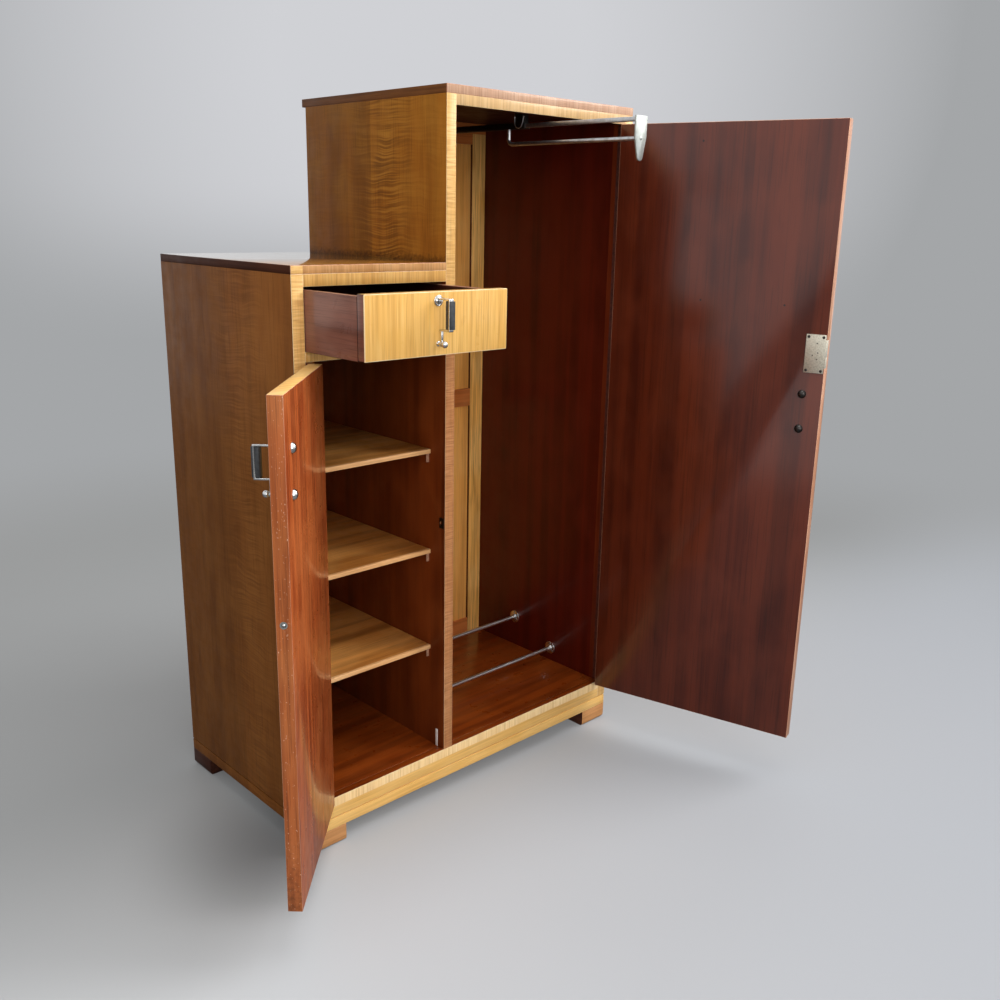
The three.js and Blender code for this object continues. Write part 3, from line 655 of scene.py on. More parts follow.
# Copper wash rubbed thin: pinkish
PEG_METAL = Metal("coppered steel shelf peg", "#c99a7d", "#a0735a", 0.4, 0.1, 6.0, 0.4)
# Hot-dipped zinc gone matt: cream grey with cloudy spots
LOCK_METAL = Metal("zinc-plated lock sheet, mottled", "#e0dac9", "#c0b9a6", 0.5, 0.12, 3.0)
# Brushed paint over sheet steel: plain off-white
WHITE_METAL = Metal("painted steel strip", "#f4f1ec", "#dcd7cf", 0.4, 0.1, 9.0, 0.0)
# Oil-blackened heads: only a small dull highlight
DARK_STEEL = Metal("blued steel screw", "#4a4745", "#2a2725", 0.35, 0.2, 2.0)
# The leaves were coated with the wood, so they hardly show
BRASS = Metal("brass leaf, stained over with the wood", "#5a2210", "#3f1709", 0.75, 0.1, 8.0, 0.0)
# Black composition: smooth, a little dusty, no metal
GRIP_BLACK = Metal("black composition, moulded", "#3a3c3f", "#26282a", 0.34, 0.12, 6.0, 0.0)


# Bench work


@dataclass
class Piece:
    """One mesh at the bench, in closed cabinet millimetres until it is set in place.

    Attributes:
        made: The object, whose place is in its mesh.
    """

    made: bpy.types.Object

    @staticmethod
    def clear() -> None:
        """Leaves object mode with nothing selected."""
        if bpy.context.mode != "OBJECT":
            bpy.ops.object.mode_set(mode="OBJECT")
        bpy.ops.object.select_all(action="DESELECT")

    @classmethod
    def added(cls, name: str) -> "Piece":
        """Takes hold of the object that has just been added.

        Args:
            name: Name of the piece.

        Returns:
            The piece, with its place in its mesh.
        """
        bpy.context.object.name = name
        bpy.ops.object.transform_apply(location=True, rotation=True, scale=True)
        return cls(bpy.context.object)

    @classmethod
    def of_data(cls, name: str, data: bpy.types.ID) -> "Piece":
        """Puts a mesh or a curve on the bench.

        Args:
            name: Name of the piece.
            data: The mesh or curve.

        Returns:
            The piece.
        """
        made = bpy.data.objects.new(name, data)
        bpy.context.scene.collection.objects.link(made)
        return cls(made)

    @classmethod
    def block(cls, name: str, low: Point, high: Point) -> "Piece":
        """A rectangular blank between two corners.

        Args:
            name: Name of the piece.
            low: Lowest corner.
            high: Highest corner.

        Returns:
            The blank.
        """
        cls.clear()
        middle = [(a + b) / 2 for a, b in zip(low, high)]
        bpy.ops.mesh.primitive_cube_add(size=1, location=middle)
        bpy.context.object.scale = [b - a for a, b in zip(low, high)]
        return cls.added(name)

    @classmethod
    def disc(
        cls, name: str, foot: Point, way: Point, radius: float, height: float, sides: int = 32
    ) -> "Piece":
        """A round blank that stands on a point.

        Args:
            name: Name of the piece.
            foot: Middle of its foot.
            way: Unit direction in which it stands.
            radius: Its radius.
            height: Its height.
            sides: Number of facets round it.

        Returns:
            The blank.
        """
        cls.clear()
        axis = Vector(way)
        bpy.ops.mesh.primitive_cylinder_add(
            vertices=sides,
            radius=radius,
            depth=height,
            location=Vector(foot) + axis * (height / 2),
            rotation=axis.to_track_quat("Z", "Y").to_euler(),
        )
        return cls.added(name)

    @classmethod
    def of_node(cls, name: str, node_name: str, setting: Setting) -> "Piece":
        """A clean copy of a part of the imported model, brought to the bench.

        Args:
            name: Name of the piece.
            node_name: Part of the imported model.
            setting: Where that part stands.

        Returns:
            The copy, merged, with its flat faces whole.
        """
        piece = cls.of_data(name, frame["nodes"][node_name].data.copy())
        piece.made.data.transform(setting.matrix().inverted())
        piece.edit("SELECT")
        bpy.ops.mesh.remove_doubles(threshold=0.004)
        bpy.ops.mesh.dissolve_limited(angle_limit=math.radians(1.0))
        bpy.ops.mesh.normals_make_consistent(inside=False)
        cls.clear()
        return piece

    def hold(self) -> None:
        """Selects this piece alone, in object mode."""
        self.clear()
        self.made.select_set(True)
        bpy.context.view_layer.objects.active = self.made

    def edit(self, selection: str) -> None:
        """Opens the mesh for work on its faces.

        Args:
            selection: SELECT for all of them or DESELECT for none.
        """
        self.hold()
        bpy.ops.object.mode_set(mode="EDIT")
        bpy.ops.mesh.select_mode(type="FACE")
        bpy.ops.mesh.select_all(action=selection)

    def pick(self, test: FaceTest) -> None:
        """Opens the mesh with those faces selected that a test accepts.

        Args:
            test: Gets a face's middle and its normal.
        """
        self.edit("DESELECT")
        mesh = bmesh.from_edit_mesh(self.made.data)
        for face in mesh.faces:
            face.select_set(test(face.calc_center_median(), face.normal))
        bmesh.update_edit_mesh(self.made.data)

    def pull(self, test: FaceTest, move: Point) -> "Piece":
        """Extrudes the faces that a test accepts.

        Args:
            test: Gets a face's middle and its normal.
            move: How far the new faces go.

        Returns:
            The piece itself.
        """
        self.pick(test)
        bpy.ops.mesh.extrude_region_move(TRANSFORM_OT_translate={"value": move})
        self.clear()
        return self

    def step(self, test: FaceTest, steps: Sequence[tuple[float, float]]) -> "Piece":
        """Insets a face again and again, as in turning a dome.

        Args:
            test: Accepts the first face.
            steps: For each inset its width and its rise.

        Returns:
            The piece itself.
        """
        self.pick(test)
        for width, rise in steps:
            bpy.ops.mesh.inset(thickness=width, depth=rise)
        self.clear()
        return self

    def split(self, way: int, place: float) -> None:
        """Cuts the faces along a plane without parting the piece.

        Args:
            way: 0, 1 or 2 for the axis that the plane lies across.
            place: Where it crosses that axis.
        """
        normal = Matrix.Identity(3)[way]
        self.edit("SELECT")
        bpy.ops.mesh.bisect(plane_co=normal * place, plane_no=normal)
        self.clear()

    def modify(self, kind: str, **settings: Any) -> "Piece":
        """Puts a modifier on the piece and applies it.

        Args:
            kind: The modifier's type.
            **settings: Its properties.

        Returns:
            The piece itself.
        """
        self.hold()
        modifier = self.made.modifiers.new(kind, kind)
        for key, value in settings.items():
            setattr(modifier, key, value)
        bpy.ops.object.modifier_apply(modifier=kind)
        return self

    def ease(self, width: float, segments: int = 2, slot_number: int = -1) -> "Piece":
        """Bevels the arrises.

        Args:
            width: Width of the bevel.
            segments: Faces across it.
            slot_number: Material slot of the new faces, or -1 to keep their own.

        Returns:
            The piece itself.
        """
        return self.modify(
            "BEVEL", width=width, segments=segments, material=slot_number,
            limit_method="ANGLE", angle_limit=math.radians(40), use_clamp_overlap=True,
        )

    def cut(self, tool: "Piece") -> "Piece":
        """Takes another piece's shape out of this one, and uses it up.

        Args:
            tool: The shape to take out.

        Returns:
            The piece itself.
        """
        self.modify("BOOLEAN", object=tool.made, operation="DIFFERENCE")
        tool.drop()
        return self

    def smooth(self, angle: float = 32.0) -> "Piece":
        """Shades it smooth.

        Args:
            angle: Sharper edges than this stay, in degrees.

        Returns:
            The piece itself.
        """
        self.hold()
        bpy.ops.object.shade_smooth_by_angle(angle=math.radians(angle))
        return self

    def coat(self, finish: Finish, *others: tuple[Finish, FaceTest]) -> "Piece":
        """Gives it one finish, and others where a test accepts the face.

        Args:
            finish: Finish of all faces.
            *others: Further finishes, each with its test.

        Returns:
            The piece itself.
        """
        slots = self.made.data.materials
        slots.clear()
        slots.append(finish.material())
        for other, test in others:
            slots.append(other.material())
            for face in self.made.data.polygons:
                if test(face.center, face.normal):
                    face.material_index = len(slots) - 1
        return self

    def drop(self) -> None:
        """Throws the piece away."""
        bpy.data.objects.remove(self.made)

    def fit(self, setting: Setting, body: str, slot: str, *nodes: str) -> "Piece":
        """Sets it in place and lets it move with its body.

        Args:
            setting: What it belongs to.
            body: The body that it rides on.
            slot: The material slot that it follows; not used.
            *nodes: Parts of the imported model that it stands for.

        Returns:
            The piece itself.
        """
        self.made.data.transform(setting.matrix())
        self.made.data.update()
        if nodes:
            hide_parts(*nodes)
        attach(self.made, body)
        log.info("%s: %d faces", self.made.name, len(self.made.data.polygons))
        return self

    def stand_for(self, setting: Setting, node_name: str) -> "Piece":
        """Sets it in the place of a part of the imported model."""
        return self.fit(setting, BODY_OF[node_name], SLOT_OF[node_name], node_name)


def joined(name: str, parts: Sequence[Piece]) -> Piece:
    """Joins several pieces into one.

    Args:
        name: Name of the whole.
        parts: The pieces, which are used up.

    Returns:
        The whole.
    """
    Piece.clear()
    for part in parts:
        part.made.select_set(True)
    bpy.context.view_layer.objects.active = parts[0].made
    if len(parts) > 1:
        bpy.ops.object.join()
    bpy.context.object.name = name
    return Piece(bpy.context.object)


def facing(way: int, sign: int, low: float = -FAR, high: float = FAR, along: int = 2) -> FaceTest:
    """A test for faces that look one way.

    Args:
        way: 0 for x, 1 for y, 2 for z.
        sign: 1 or -1 along it.
        low: Least place of the face's middle.
        high: Greatest place of the face's middle.
        along: The direction in which that place is measured.

    Returns:
        The test.
    """
    return lambda middle, normal: normal[way] * sign > 0.8 and low < middle[along] < high


def at_front(middle: Vector, _normal: Vector) -> bool:
    """Whether a face lies along the front plane of the case."""
    return middle.y < FRONT_EDGE


def board(
    node_name: str,
    setting: Setting,
    finish: Finish,
    *others: tuple[Finish, FaceTest],
    arris: Finish | None = None,
    rubbed: FaceTest | None = at_front,
    width: float = 0.7,
    splits: Sequence[tuple[int, float]] = (),
) -> None:
    """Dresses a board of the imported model.

    Args:
        node_name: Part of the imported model.
        setting: What it belongs to.
        finish: Finish of all faces.
        *others: Further finishes, each with its test.
        arris: Finish of the eased arrises, if they are rubbed.
        rubbed: Which of them are, or None for all.
        width: Width of the eased arris.
        splits: Planes that part one veneer from the next, each an axis and a place on it.
    """
    piece = Piece.of_node(f"{node_name}_board", node_name, setting)
    for way, place in splits:
        piece.split(way, place)
    piece.coat(finish, *others)
    number = -1
    if arris:
        number = len(piece.made.data.materials)
        piece.made.data.materials.append(arris.material())
    piece.ease(width, 2, number).smooth(30)
    if arris and rubbed:
        for face in piece.made.data.polygons:
            if face.material_index == number and not rubbed(face.center, face.normal):
                face.material_index = 0
    piece.stand_for(setting, node_name)


def turned(
    node_name: str,
    setting: Setting,
    finish: Finish,
    width: float = 0.3,
    *others: tuple[Finish, FaceTest],
) -> None:
    """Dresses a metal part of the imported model, with its edges broken.

    Args:
        node_name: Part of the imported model.
        setting: What it belongs to.
        finish: Its metal.
        width: Width of the broken edge.
        *others: Further finishes, each with its test.
    """
    piece = Piece.of_node(f"{node_name}_fitting", node_name, setting)
    piece.coat(finish, *others).ease(width).smooth(35).stand_for(setting, node_name)


@dataclass
class Screws:
    """Slotted screw heads, modelled once and copied.

    Attributes:
        radius: Radius of the head.
        rise: How far it stands proud.
        slot_width: Width of the slot.
    """

    radius: float
    rise: float
    slot_width: float

    def head(self) -> Piece:
        """One head standing on the origin, looking along z.

        Returns:
            The head.
        """
        r, h = self.radius, self.rise
        head = Piece.disc("screw_head", (0, 0, -0.2), (0, 0, 1), r, 0.2 + h * 0.3, 20)
        dome = ((0.12, 0.25), (0.2, 0.22), (0.28, 0.16), (0.25, 0.07))
        head.step(facing(2, 1), [(r * width, h * lift) for width, lift in dome])
        half = self.slot_width / 2
        return head.cut(Piece.block("slot", (-2 * r, -half, h * 0.45), (2 * r, half, 2 * h)))

    def row(
        self, name: str, places: Sequence[tuple[Point, Point, float]], finish: Finish
    ) -> Piece:
        """Several heads as one piece.

        Args:
            name: Name of the piece.
            places: For each head its place, the way it looks and its slot's turn in degrees.
            finish: Its metal.

        Returns:
            The heads, at the bench.
        """
        first = self.head().coat(finish).smooth(30)
        heads = []
        for number, (spot, way, turn) in enumerate(places):
            head = Piece.of_data(f"{name}_{number}", first.made.data.copy())
            head.made.data.transform(
                Matrix.Translation(spot)
                @ Vector(way).to_track_quat("Z", "Y").to_matrix().to_4x4()
                @ Matrix.Rotation(math.radians(turn), 4, "Z")
            )
            heads.append(head)
        first.drop()
        return joined(name, heads)


# Sub-assemblies


@dataclass
class Carcass:
    """Sides, tops, rails, floor, plinth, feet and the framed back.

    Attributes:
        side: Thickness of the left side board, whose edge runs up past the low top.
        low_top: Height of the low top's face.
        joint: Height of the joint in the edge veneer of the wall between the sections.
        base_band: Height at which the base rail's crossbanding starts.
        lip: Depth of the strip of painted light behind the right side's front edge.
        shelf_lip: Depth of a shelf's front lipping.
        strip: Size of the thin strip low on the wall between the sections.
    """

    side: float = 25.0
    low_top: float = 1193.0
    joint: float = 1039.5
    base_band: float = 90.3
    lip: float = 34.0
    shelf_lip: float = 7.0
    strip: Point = (1.2, 7.0, 42.0)

    def build(self) -> None:
        """Dresses every board of the case."""
        front, top, under = facing(1, -1), facing(2, 1), facing(2, -1)
        left, right = facing(0, -1), facing(0, 1)
        board(
            "side_left", CASE, LOW_SIDE, (CUPBOARD_SIDE, right), (STILE_FACE, front),
            arris=ARRIS, width=0.5,
        )
        board(
            "side_right", CASE, LOW_SIDE, (HANGING_SIDE, left), (STILE_FACE, front),
            (HANGING_STRIP_PAINTED_LIGHT, facing(0, -1, -1, self.lip, 1)),
            arris=ARRIS, width=0.5, splits=[(1, self.lip)],
        )
        board(
            "divider", CASE, HANGING_SIDE, (CUPBOARD_SIDE, left),
            (TALL_SIDE, facing(0, -1, self.low_top)), (STILE_FACE, front),
            (STILE_LOW_PINK_AND_SHADED, facing(1, -1, 0, self.joint)),
            arris=ARRIS, width=0.5, splits=[(2, self.low_top), (2, self.joint)],
        )
        board(
            "top_low", CASE, TOP_EDGE_PAINTED_SHADE, (TOP_FACE, top), (TOP_BAND, front),
            (STILE_FACE, facing(1, -1, 0, self.side, 0)), (UNDERSIDE_PAINTED_SHADE, under),
            arris=ARRIS_RED, width=0.9, splits=[(0, self.side)],
        )
        board(
            "top_tall", CASE, TOP_EDGE, (TOP_FACE, top), (TOP_BAND_PALE, front),
            (UNDERSIDE_PAINTED_SHADE, under), arris=ARRIS_RED, width=0.9,
        )
        for name, band in (
            ("rail_low", RAIL_FACE), ("rail_tall", RAIL_PALE), ("drawer_board", RAIL_FACE)
        ):
            board(name, CASE, UNDERSIDE_PAINTED_SHADE, (band, front), arris=ARRIS, width=0.4)
        board(
            "base_rail", CASE, RAIL_PLAIN, (BASE_BAND_PAINTED_LIGHT, facing(1, -1, self.base_band)),
            (FLOOR_FACE, top), arris=ARRIS, width=0.6, splits=[(2, self.base_band)],
        )
        board("floor_board", CASE, FLOOR_FACE, width=0.4)
        board("plinth_front", CASE, RAIL_PLAIN, (LOW_SIDE, left), (LOW_SIDE, right), width=0.6)
        for name in ("plinth_left", "plinth_right"):
            board(name, CASE, LOW_SIDE, width=0.6)
        for depth, face in (("front", FOOT_FACE), ("back", FOOT_DARK)):
            for side in ("left", "right"):
                board(f"foot_{depth}_{side}", CASE, FOOT_DARK, (face, front))
        self.back()
        self.shelves()
        self.trim()

    def back(self) -> None:
        """Dresses the framed back of the tall side and the board behind the low side."""
        groove_shades = (BACK_GROOVE_PAINTED_SHADE, facing(0, -1)), (BACK_GROOVE_PAINTED_SHADE, facing(0, 1))
        for side in ("left", "right"):
            board(f"back_stile_{side}", CASE, BACK_STILE, *groove_shades, width=0.8)
        for level in ("top", "middle", "bottom"):
            board(f"back_rail_{level}", CASE, BACK_RAIL, width=0.6)
        for level in ("upper", "lower"):
            board(f"back_panel_{level}", CASE, BACK_FACE, width=0.4)
        board("back_low", CASE, CUPBOARD_BACK_PAINTED_LIGHT, width=0.4)

    def shelves(self) -> None:
        """Dresses the three shelves and the metal strips that bear them."""
        for level in ("lower", "middle", "upper"):
            name = f"shelf_{level}"
            edge = (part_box(name)[0].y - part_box("side_left")[0].y) * 1000
            board(
                name, CASE, SHELF_FACE, (SHELF_LIP, facing(1, -1)),
                (SHELF_LIP, facing(2, 1, edge - 1, edge + self.shelf_lip, 1)),
                width=0.8, splits=[(1, edge + self.shelf_lip)],
            )
            for side in ("left", "right"):
                turned(f"shelf_support_{level}_{side}", CASE, PEG_METAL, 0.25)

    def trim(self) -> None:
        """Makes the thin strip and the keeper on the wall between the sections."""
        wide, deep, tall = self.strip
        low, high = (WALL - wide, 22, 111), (WALL + 0.1, 22 + deep, 111 + tall)
        strip = Piece.block("wall_strip", low, high).coat(WHITE_METAL).ease(0.3).smooth()
        strip.fit(CASE, "cabinet", "nickel")
        keeper = Piece.block("rail_keeper", (383.5, 27.5, 1484), (394, 35.5, 1490.2))
        keeper.pull(facing(2, -1), (0, 0, -3)).coat(BRASS).ease(0.6).smooth()
        keeper.fit(CASE, "cabinet", "brass")


@dataclass(frozen=True)
class Handle:
    """Drop handle: rosette, flat strap with a black grip, leg with a ball end.

    Attributes:
        label: Which front it is on.
        x: Middle of the strap on the closed front.
        z: Height of the upper fixing.
        open_side: Side on which the grip leaves the strap bare, -1 left or 1 right.
        reach: From the front to the strap's outer face.
        half: Half the strap's width.
        thick: Thickness of the strap.
        rise: From the upper fixing to the upper arm.
        span: From the upper arm to the lower arm.
        stand: From the front to the leg.
        fixing: Between the two fixings.
        rosette: Radius of the rosette.
        leg_width: Width of the leg.
        eye: Radius of the leg's eye.
        stud: Radius of the stud through it.
        ball: Radius of the ball.
        ball_stand: From the front to the ball's middle.
        bolt: Radius of a bolt head on the inner face.
        corner: Bevel along the grip's outer corners.
    """

    label: str
    x: float
    z: float
    open_side: int
    reach: float = 36.5
    half: float = 5.0
    thick: float = 3.2
    rise: float = 2.0
    span: float = 51.5
    stand: float = 9.0
    fixing: float = 76.2
    rosette: float = 9.7
    leg_width: float = 5.0
    eye: float = 5.0
    stud: float = 4.6
    ball: float = 6.2
    ball_stand: float = 18.0
    bolt: float = 9.2
    corner: float = 2.0

    def strap(self) -> Piece:
        """The flat strap, drawn out arm by arm from its upper end.

        Returns:
            The strap.
        """
        x, half, out = self.x, self.half, -self.reach
        foot, inner = self.z + self.rise, out + self.thick
        low = foot - self.span
        piece = Piece.block("strap", (x - half, inner, foot), (x + half, -1.0, foot + self.thick))
        piece.pull(facing(1, -1), (0, -self.thick, 0))
        for length in (self.span, self.thick):
            piece.pull(facing(2, -1, out, inner, 1), (0, 0, -length))
        piece.pull(facing(1, 1, low - self.thick, low), (0, -self.stand - inner, 0))
        return piece.ease(0.8, 3)

    def leg(self) -> Piece:
        """The narrow leg with its eye, the stud through it and the ball.

        Returns:
            All of them as one.
        """
        x, low = self.x, self.z - self.fixing
        back, front = -self.stand, -self.stand - self.thick
        top, half = self.z + self.rise - self.span, self.leg_width / 2
        leg = Piece.block("leg", (x - half, front, low), (x + half, back, top)).ease(0.9, 3)
        eye = Piece.disc("eye", (x, back, low), (0, -1, 0), self.eye, self.thick, 28).ease(0.6)
        stud = Piece.disc("stud", (x, 0.0, low), (0, -1, 0), self.stud, 1.2, 28)
        stud.step(facing(1, -1), ((0.9, 0.4), (0.9, 0.0)))
        stud.pull(facing(1, -1, low - 1, low + 1), (0, self.stand - self.ball_stand - 7, 0))
        Piece.clear()
        bpy.ops.mesh.primitive_uv_sphere_add(
            segments=32, ring_count=20, radius=self.ball,
            location=(x, -self.ball_stand, low), rotation=(math.radians(90), 0, 0),
        )
        ball = Piece.added("ball")
        tip = -self.ball_stand - self.ball
        ball.cut(Piece.block("slot", (x - 7, tip - 1, low - 0.5), (x + 7, tip + 0.9, low + 0.5)))
        return joined("leg", [leg, eye, stud, ball])

    def build(self, setting: Setting, bolt_metal: Metal | None = None) -> None:
        """Makes the handle and puts it on its front.

        Args:
            setting: Where the front stands.
            bolt_metal: Metal of the bolt heads behind a door, or none behind the drawer.
        """
        x, z = self.x, self.z
        rosette = Piece.disc("rosette", (x, 0.0, z), (0, -1, 0), self.rosette, 1.3, 40)
        rosette.step(
            facing(1, -1),
            ((0.5, 0.3), (1.3, 0.0), (0.5, -0.35), (0.5, 0.0), (0.7, 1.5), (1.5, 0.9), (1.6, 0.5)),
        )
        screw_place = ((x, -self.reach, z + self.rise - 0.4), (0, -1, 0), 20)
        screw = Screws(1.9, 0.8, 0.6).row("strap_screw", [screw_place], CHROME)
        parts = [rosette, self.strap(), self.leg(), screw]
        whole = joined(f"handle_{self.label}_work", parts).coat(CHROME).smooth(34)
        whole.stand_for(setting, f"handle_{self.label}")
        self.grip(setting)
        if bolt_metal:
            self.bolts(setting, bolt_metal)

    def grip(self, setting: Setting) -> None:
        """Eases the black grip, with broad facets along its outer corners.

        Args:
            setting: Where the front stands.
        """
        node_name = f"grip_{self.label}"
        piece = Piece.of_node(f"{node_name}_work", node_name, setting)
        piece.edit("DESELECT")
        mesh = bmesh.from_edit_mesh(piece.made.data)
        bpy.ops.mesh.select_mode(type="EDGE")
        side = self.x + self.open_side * self.half
        for edge in mesh.edges:
            first, last = (v.co for v in edge.verts)
            upright = abs(first.z - last.z) > 40
            in_slot = -1 < first.y + self.reach < self.thick + 1
            edge.select_set(upright and abs(first.x - side) > 3.0 and not in_slot)
        bmesh.update_edit_mesh(piece.made.data)
        bpy.ops.mesh.bevel(offset=self.corner, affect="EDGES", clamp_overlap=True)
        piece.clear()
        piece.coat(GRIP_BLACK).ease(0.35).smooth(24).stand_for(setting, node_name)

    def bolts(self, setting: Setting, metal: Metal) -> None:
        """Domed bolt heads on the door's inner face, at both fixings.

        Args:
            setting: Where the door stands.
            metal: Their metal.
        """
        x, face, heads = self.x, DOOR_FACE, []
        dome = ((0.3, 1.0), (1.0, 2.0), (1.7, 1.8), (2.0, 1.1), (1.9, 0.5), (1.2, 0.1))
        for z in (self.z, self.z - self.fixing):
            head = Piece.disc("bolt", (x, face - 0.3, z), (0, 1, 0), self.bolt, 1.0, 36)
            head.step(facing(1, 1), dome)
            slot = Piece.block("slot", (x - 10, face + 6.4, z - 0.6), (x + 10, face + 9, z + 0.6))
            heads.append(head.cut(slot))
        whole = joined(f"bolt_heads_{self.label}", heads).coat(metal).smooth(30)
        body = BODY_OF[f"handle_{self.label}"]
        whole.fit(setting, body, "chrome" if metal is CHROME else "steel")


@dataclass
class LowDoor:
    """Short door of the cupboard, with its catch and handle.

    Attributes:
        handle: Its handle.
        catch: Middle of the ball catch in the door's free edge.
        rim: Outer and inner radius of the catch's rim.
        strike_height: Height of the strike on the wall.
        dent: Radius of the hole in it.
    """

    handle: Handle = Handle("door_low", 307.0, 926.8, -1)
    catch: Point = (357.0, 12.75, 646.8)
    rim: tuple[float, float] = (6.4, 3.9)
    strike_height: float = 24.0
    dent: float = 3.6

    def build(self) -> None:
        """Dresses the door and its fittings."""
        board(
            "door_low", LOW_DOOR, LOW_DOOR_FACE,
            (DOOR_OUTSIDE, facing(1, -1)), (LOW_DOOR_EDGE, facing(0, 1)),
            (LOW_DOOR_EDGE, facing(0, -1)), (DOOR_TOP_EDGE, facing(2, 1)),
            arris=ARRIS_RED, rubbed=None, width=0.8,
        )
        self.handle.build(LOW_DOOR, CHROME)
        turned("catch_case", LOW_DOOR, NICKEL, 0.2)
        turned("catch_ball", LOW_DOOR, CHROME, 0.05)
        (x, y, z), (outer, inner) = self.catch, self.rim
        rim = Piece.disc("catch_rim", (x - 0.2, y, z), (1, 0, 0), outer, 0.5)
        rim.cut(Piece.disc("rim_hole", (x - 2, y, z), (1, 0, 0), inner, 5.0)).coat(NICKEL).smooth()
        rim.fit(LOW_DOOR, "low_door", "nickel")
        face, half = WALL - 0.7, self.strike_height / 2
        strike = Piece.block("catch_strike", (face, 3.5, z - half), (WALL + 0.1, 18.0, z + half))
        strike.cut(Piece.disc("dent", (350, y, z), (1, 0, 0), self.dent, 20.0))
        strike.coat(DARK_STEEL).ease(0.25, 1).smooth()
        places = [((face, 10.0, z + lift), (-1, 0, 0), turn) for lift, turn in ((8, 25), (-8, 70))]
        screws = Screws(2.2, 0.5, 0.5).row("strike_screws", places, DARK_STEEL)
        joined("catch_strike", [strike, screws]).fit(CASE, "cabinet", "nickel")


@dataclass
class TallDoor:
    """Tall door of the hanging side, with its rim lock and handle.

    Attributes:
        handle: Its handle.
        plate_x: Left and right edge of the lock's plate on the closed door.
        plate_z: Foot and head of the plate.
        plate_face: The plate's inner face.
        inset: How far its screws lie inside its edges.
        rivets: x and z of its rivets.
    """

    handle: Handle = Handle("door_tall", 426.5, 926.8, 1)
    plate_x: tuple[float, float] = (386.0, 428.0)
    plate_z: tuple[float, float] = (974.5, 1056.5)
    plate_face: float = 27.5
    inset: float = 5.2
    rivets: tuple[tuple[float, float], ...] = (
        (404.0, 1038.0), (401.0, 1018.0), (402.0, 1004.0), (412.0, 1012.0)
    )

    def build(self) -> None:
        """Dresses the door and its fittings."""
        board(
            "door_tall", TALL_DOOR, TALL_DOOR_FACE, (DOOR_OUTSIDE, facing(1, -1)),
            (TALL_DOOR_EDGE, facing(0, -1)), (TALL_DOOR_EDGE, facing(2, 1)),
            arris=ARRIS_RED, rubbed=None, width=0.8,
        )
        self.handle.build(TALL_DOOR, DARK_STEEL)
        turned("lock_case", TALL_DOOR, LOCK_METAL, 0.35)
        turned("lock_bolt", TALL_DOOR, NICKEL, 0.4)
        left, right = self.plate_x[0] + self.inset, self.plate_x[1] - self.inset
        foot, head = self.plate_z[0] + self.inset, self.plate_z[1] - self.inset
        corners = ((left, foot, 15), (right, foot, 80), (left, head, 140), (right, head, 45))
        places = [((x, self.plate_face - 0.1, z), (0, 1, 0), turn) for x, z, turn in corners]
        screws = Screws(3.4, 0.9, 0.8).row("lock_screws", places, DARK_STEEL)
        screws.fit(TALL_DOOR, "tall_door", "steel")
        rivets = [
            Piece.disc("rivet", (x, self.plate_face - 0.2, z), (0, 1, 0), 1.5, 0.5, 16).step(
                facing(1, 1), ((0.4, 0.2), (0.4, 0.1))
            )
            for x, z in self.rivets
        ]
        whole = joined("lock_rivets", rivets).coat(DARK_STEEL).smooth(30)
        whole.fit(TALL_DOOR, "tall_door", "steel")


@dataclass
class Drawer:
    """Drawer above the cupboard, pulled out a hand's breadth.

    Attributes:
        handle: Its handle.
    """

    handle: Handle = Handle("drawer", 187.55, 1138.0, 1)

    def build(self) -> None:
        """Dresses the drawer."""
        left, right, top = facing(0, -1), facing(0, 1), facing(2, 1)
        board(
            "drawer_front", DRAWER, DRAWER_INSIDE, (DRAWER_FACE, facing(1, -1)), (RAIL_FACE, top),
            (DRAWER_SIDE, left), (DRAWER_SIDE, right), arris=ARRIS, width=1.4,
        )
        for side, outer, rubbed in (("left", left, top), ("right", right, None)):
            board(
                f"drawer_side_{side}", DRAWER, DRAWER_INSIDE,
                (DRAWER_SIDE, outer), (DRAWER_SIDE, top), arris=ARRIS_RED, rubbed=rubbed,
            )
        board("drawer_back", DRAWER, DRAWER_INSIDE, width=0.5)
        board("drawer_bottom", DRAWER, DRAWER_INSIDE, width=0.3)
        self.handle.build(DRAWER)


@dataclass
class HangingRail:
    """Pull-out rail under the tall top: track, slide, bent rod and end plate.

    Attributes:
        screw: Place of the end plate's screw when the rail is pushed in.
        hook_x: Where the carrier's wire hook hangs.
        hook: y and z of the points along that wire.
    """

    screw: Point = (636.25, 30.0, 1435.7)
    hook_x: float = 627.25
    hook: tuple[tuple[float, float], ...] = (
        (62, 1491), (64, 1486), (66, 1478), (70, 1470), (77, 1467), (85, 1469),
        (89, 1475), (90, 1482), (90, 1491),
    )

    def build(self) -> None:
        """Dresses the rail and adds the screw and the carrier's wire hook."""
        turned("hanger_slide", HANGING_RAIL, STEEL_ROD)
        turned("hanger_end_plate", HANGING_RAIL, NICKEL, 0.8)
        turned("hanger_track", CASE, DARK_STEEL, 0.2)
        places = [(self.screw, (0, -1, 0), 30)]
        screws = Screws(3.6, 1.1, 0.8).row("end_plate_screws", places, NICKEL)
        screws.fit(HANGING_RAIL, "hanging_rail", "nickel")
        curve = bpy.data.curves.new("carrier_hook", "CURVE")
        curve.dimensions = "3D"
        curve.bevel_depth = 1.1
        curve.bevel_resolution = 3
        curve.use_fill_caps = True
        line = curve.splines.new("POLY")
        line.points.add(len(self.hook) - 1)
        for spot, (y, z) in zip(line.points, self.hook):
            spot.co = (self.hook_x, y, z, 1.0)
        Piece.of_data("carrier_hook", curve).hold()
        bpy.ops.object.convert(target="MESH")
        wire = Piece(bpy.context.object).coat(RAIL_STEEL).smooth(60)
        wire.fit(CASE, "cabinet", "steel")


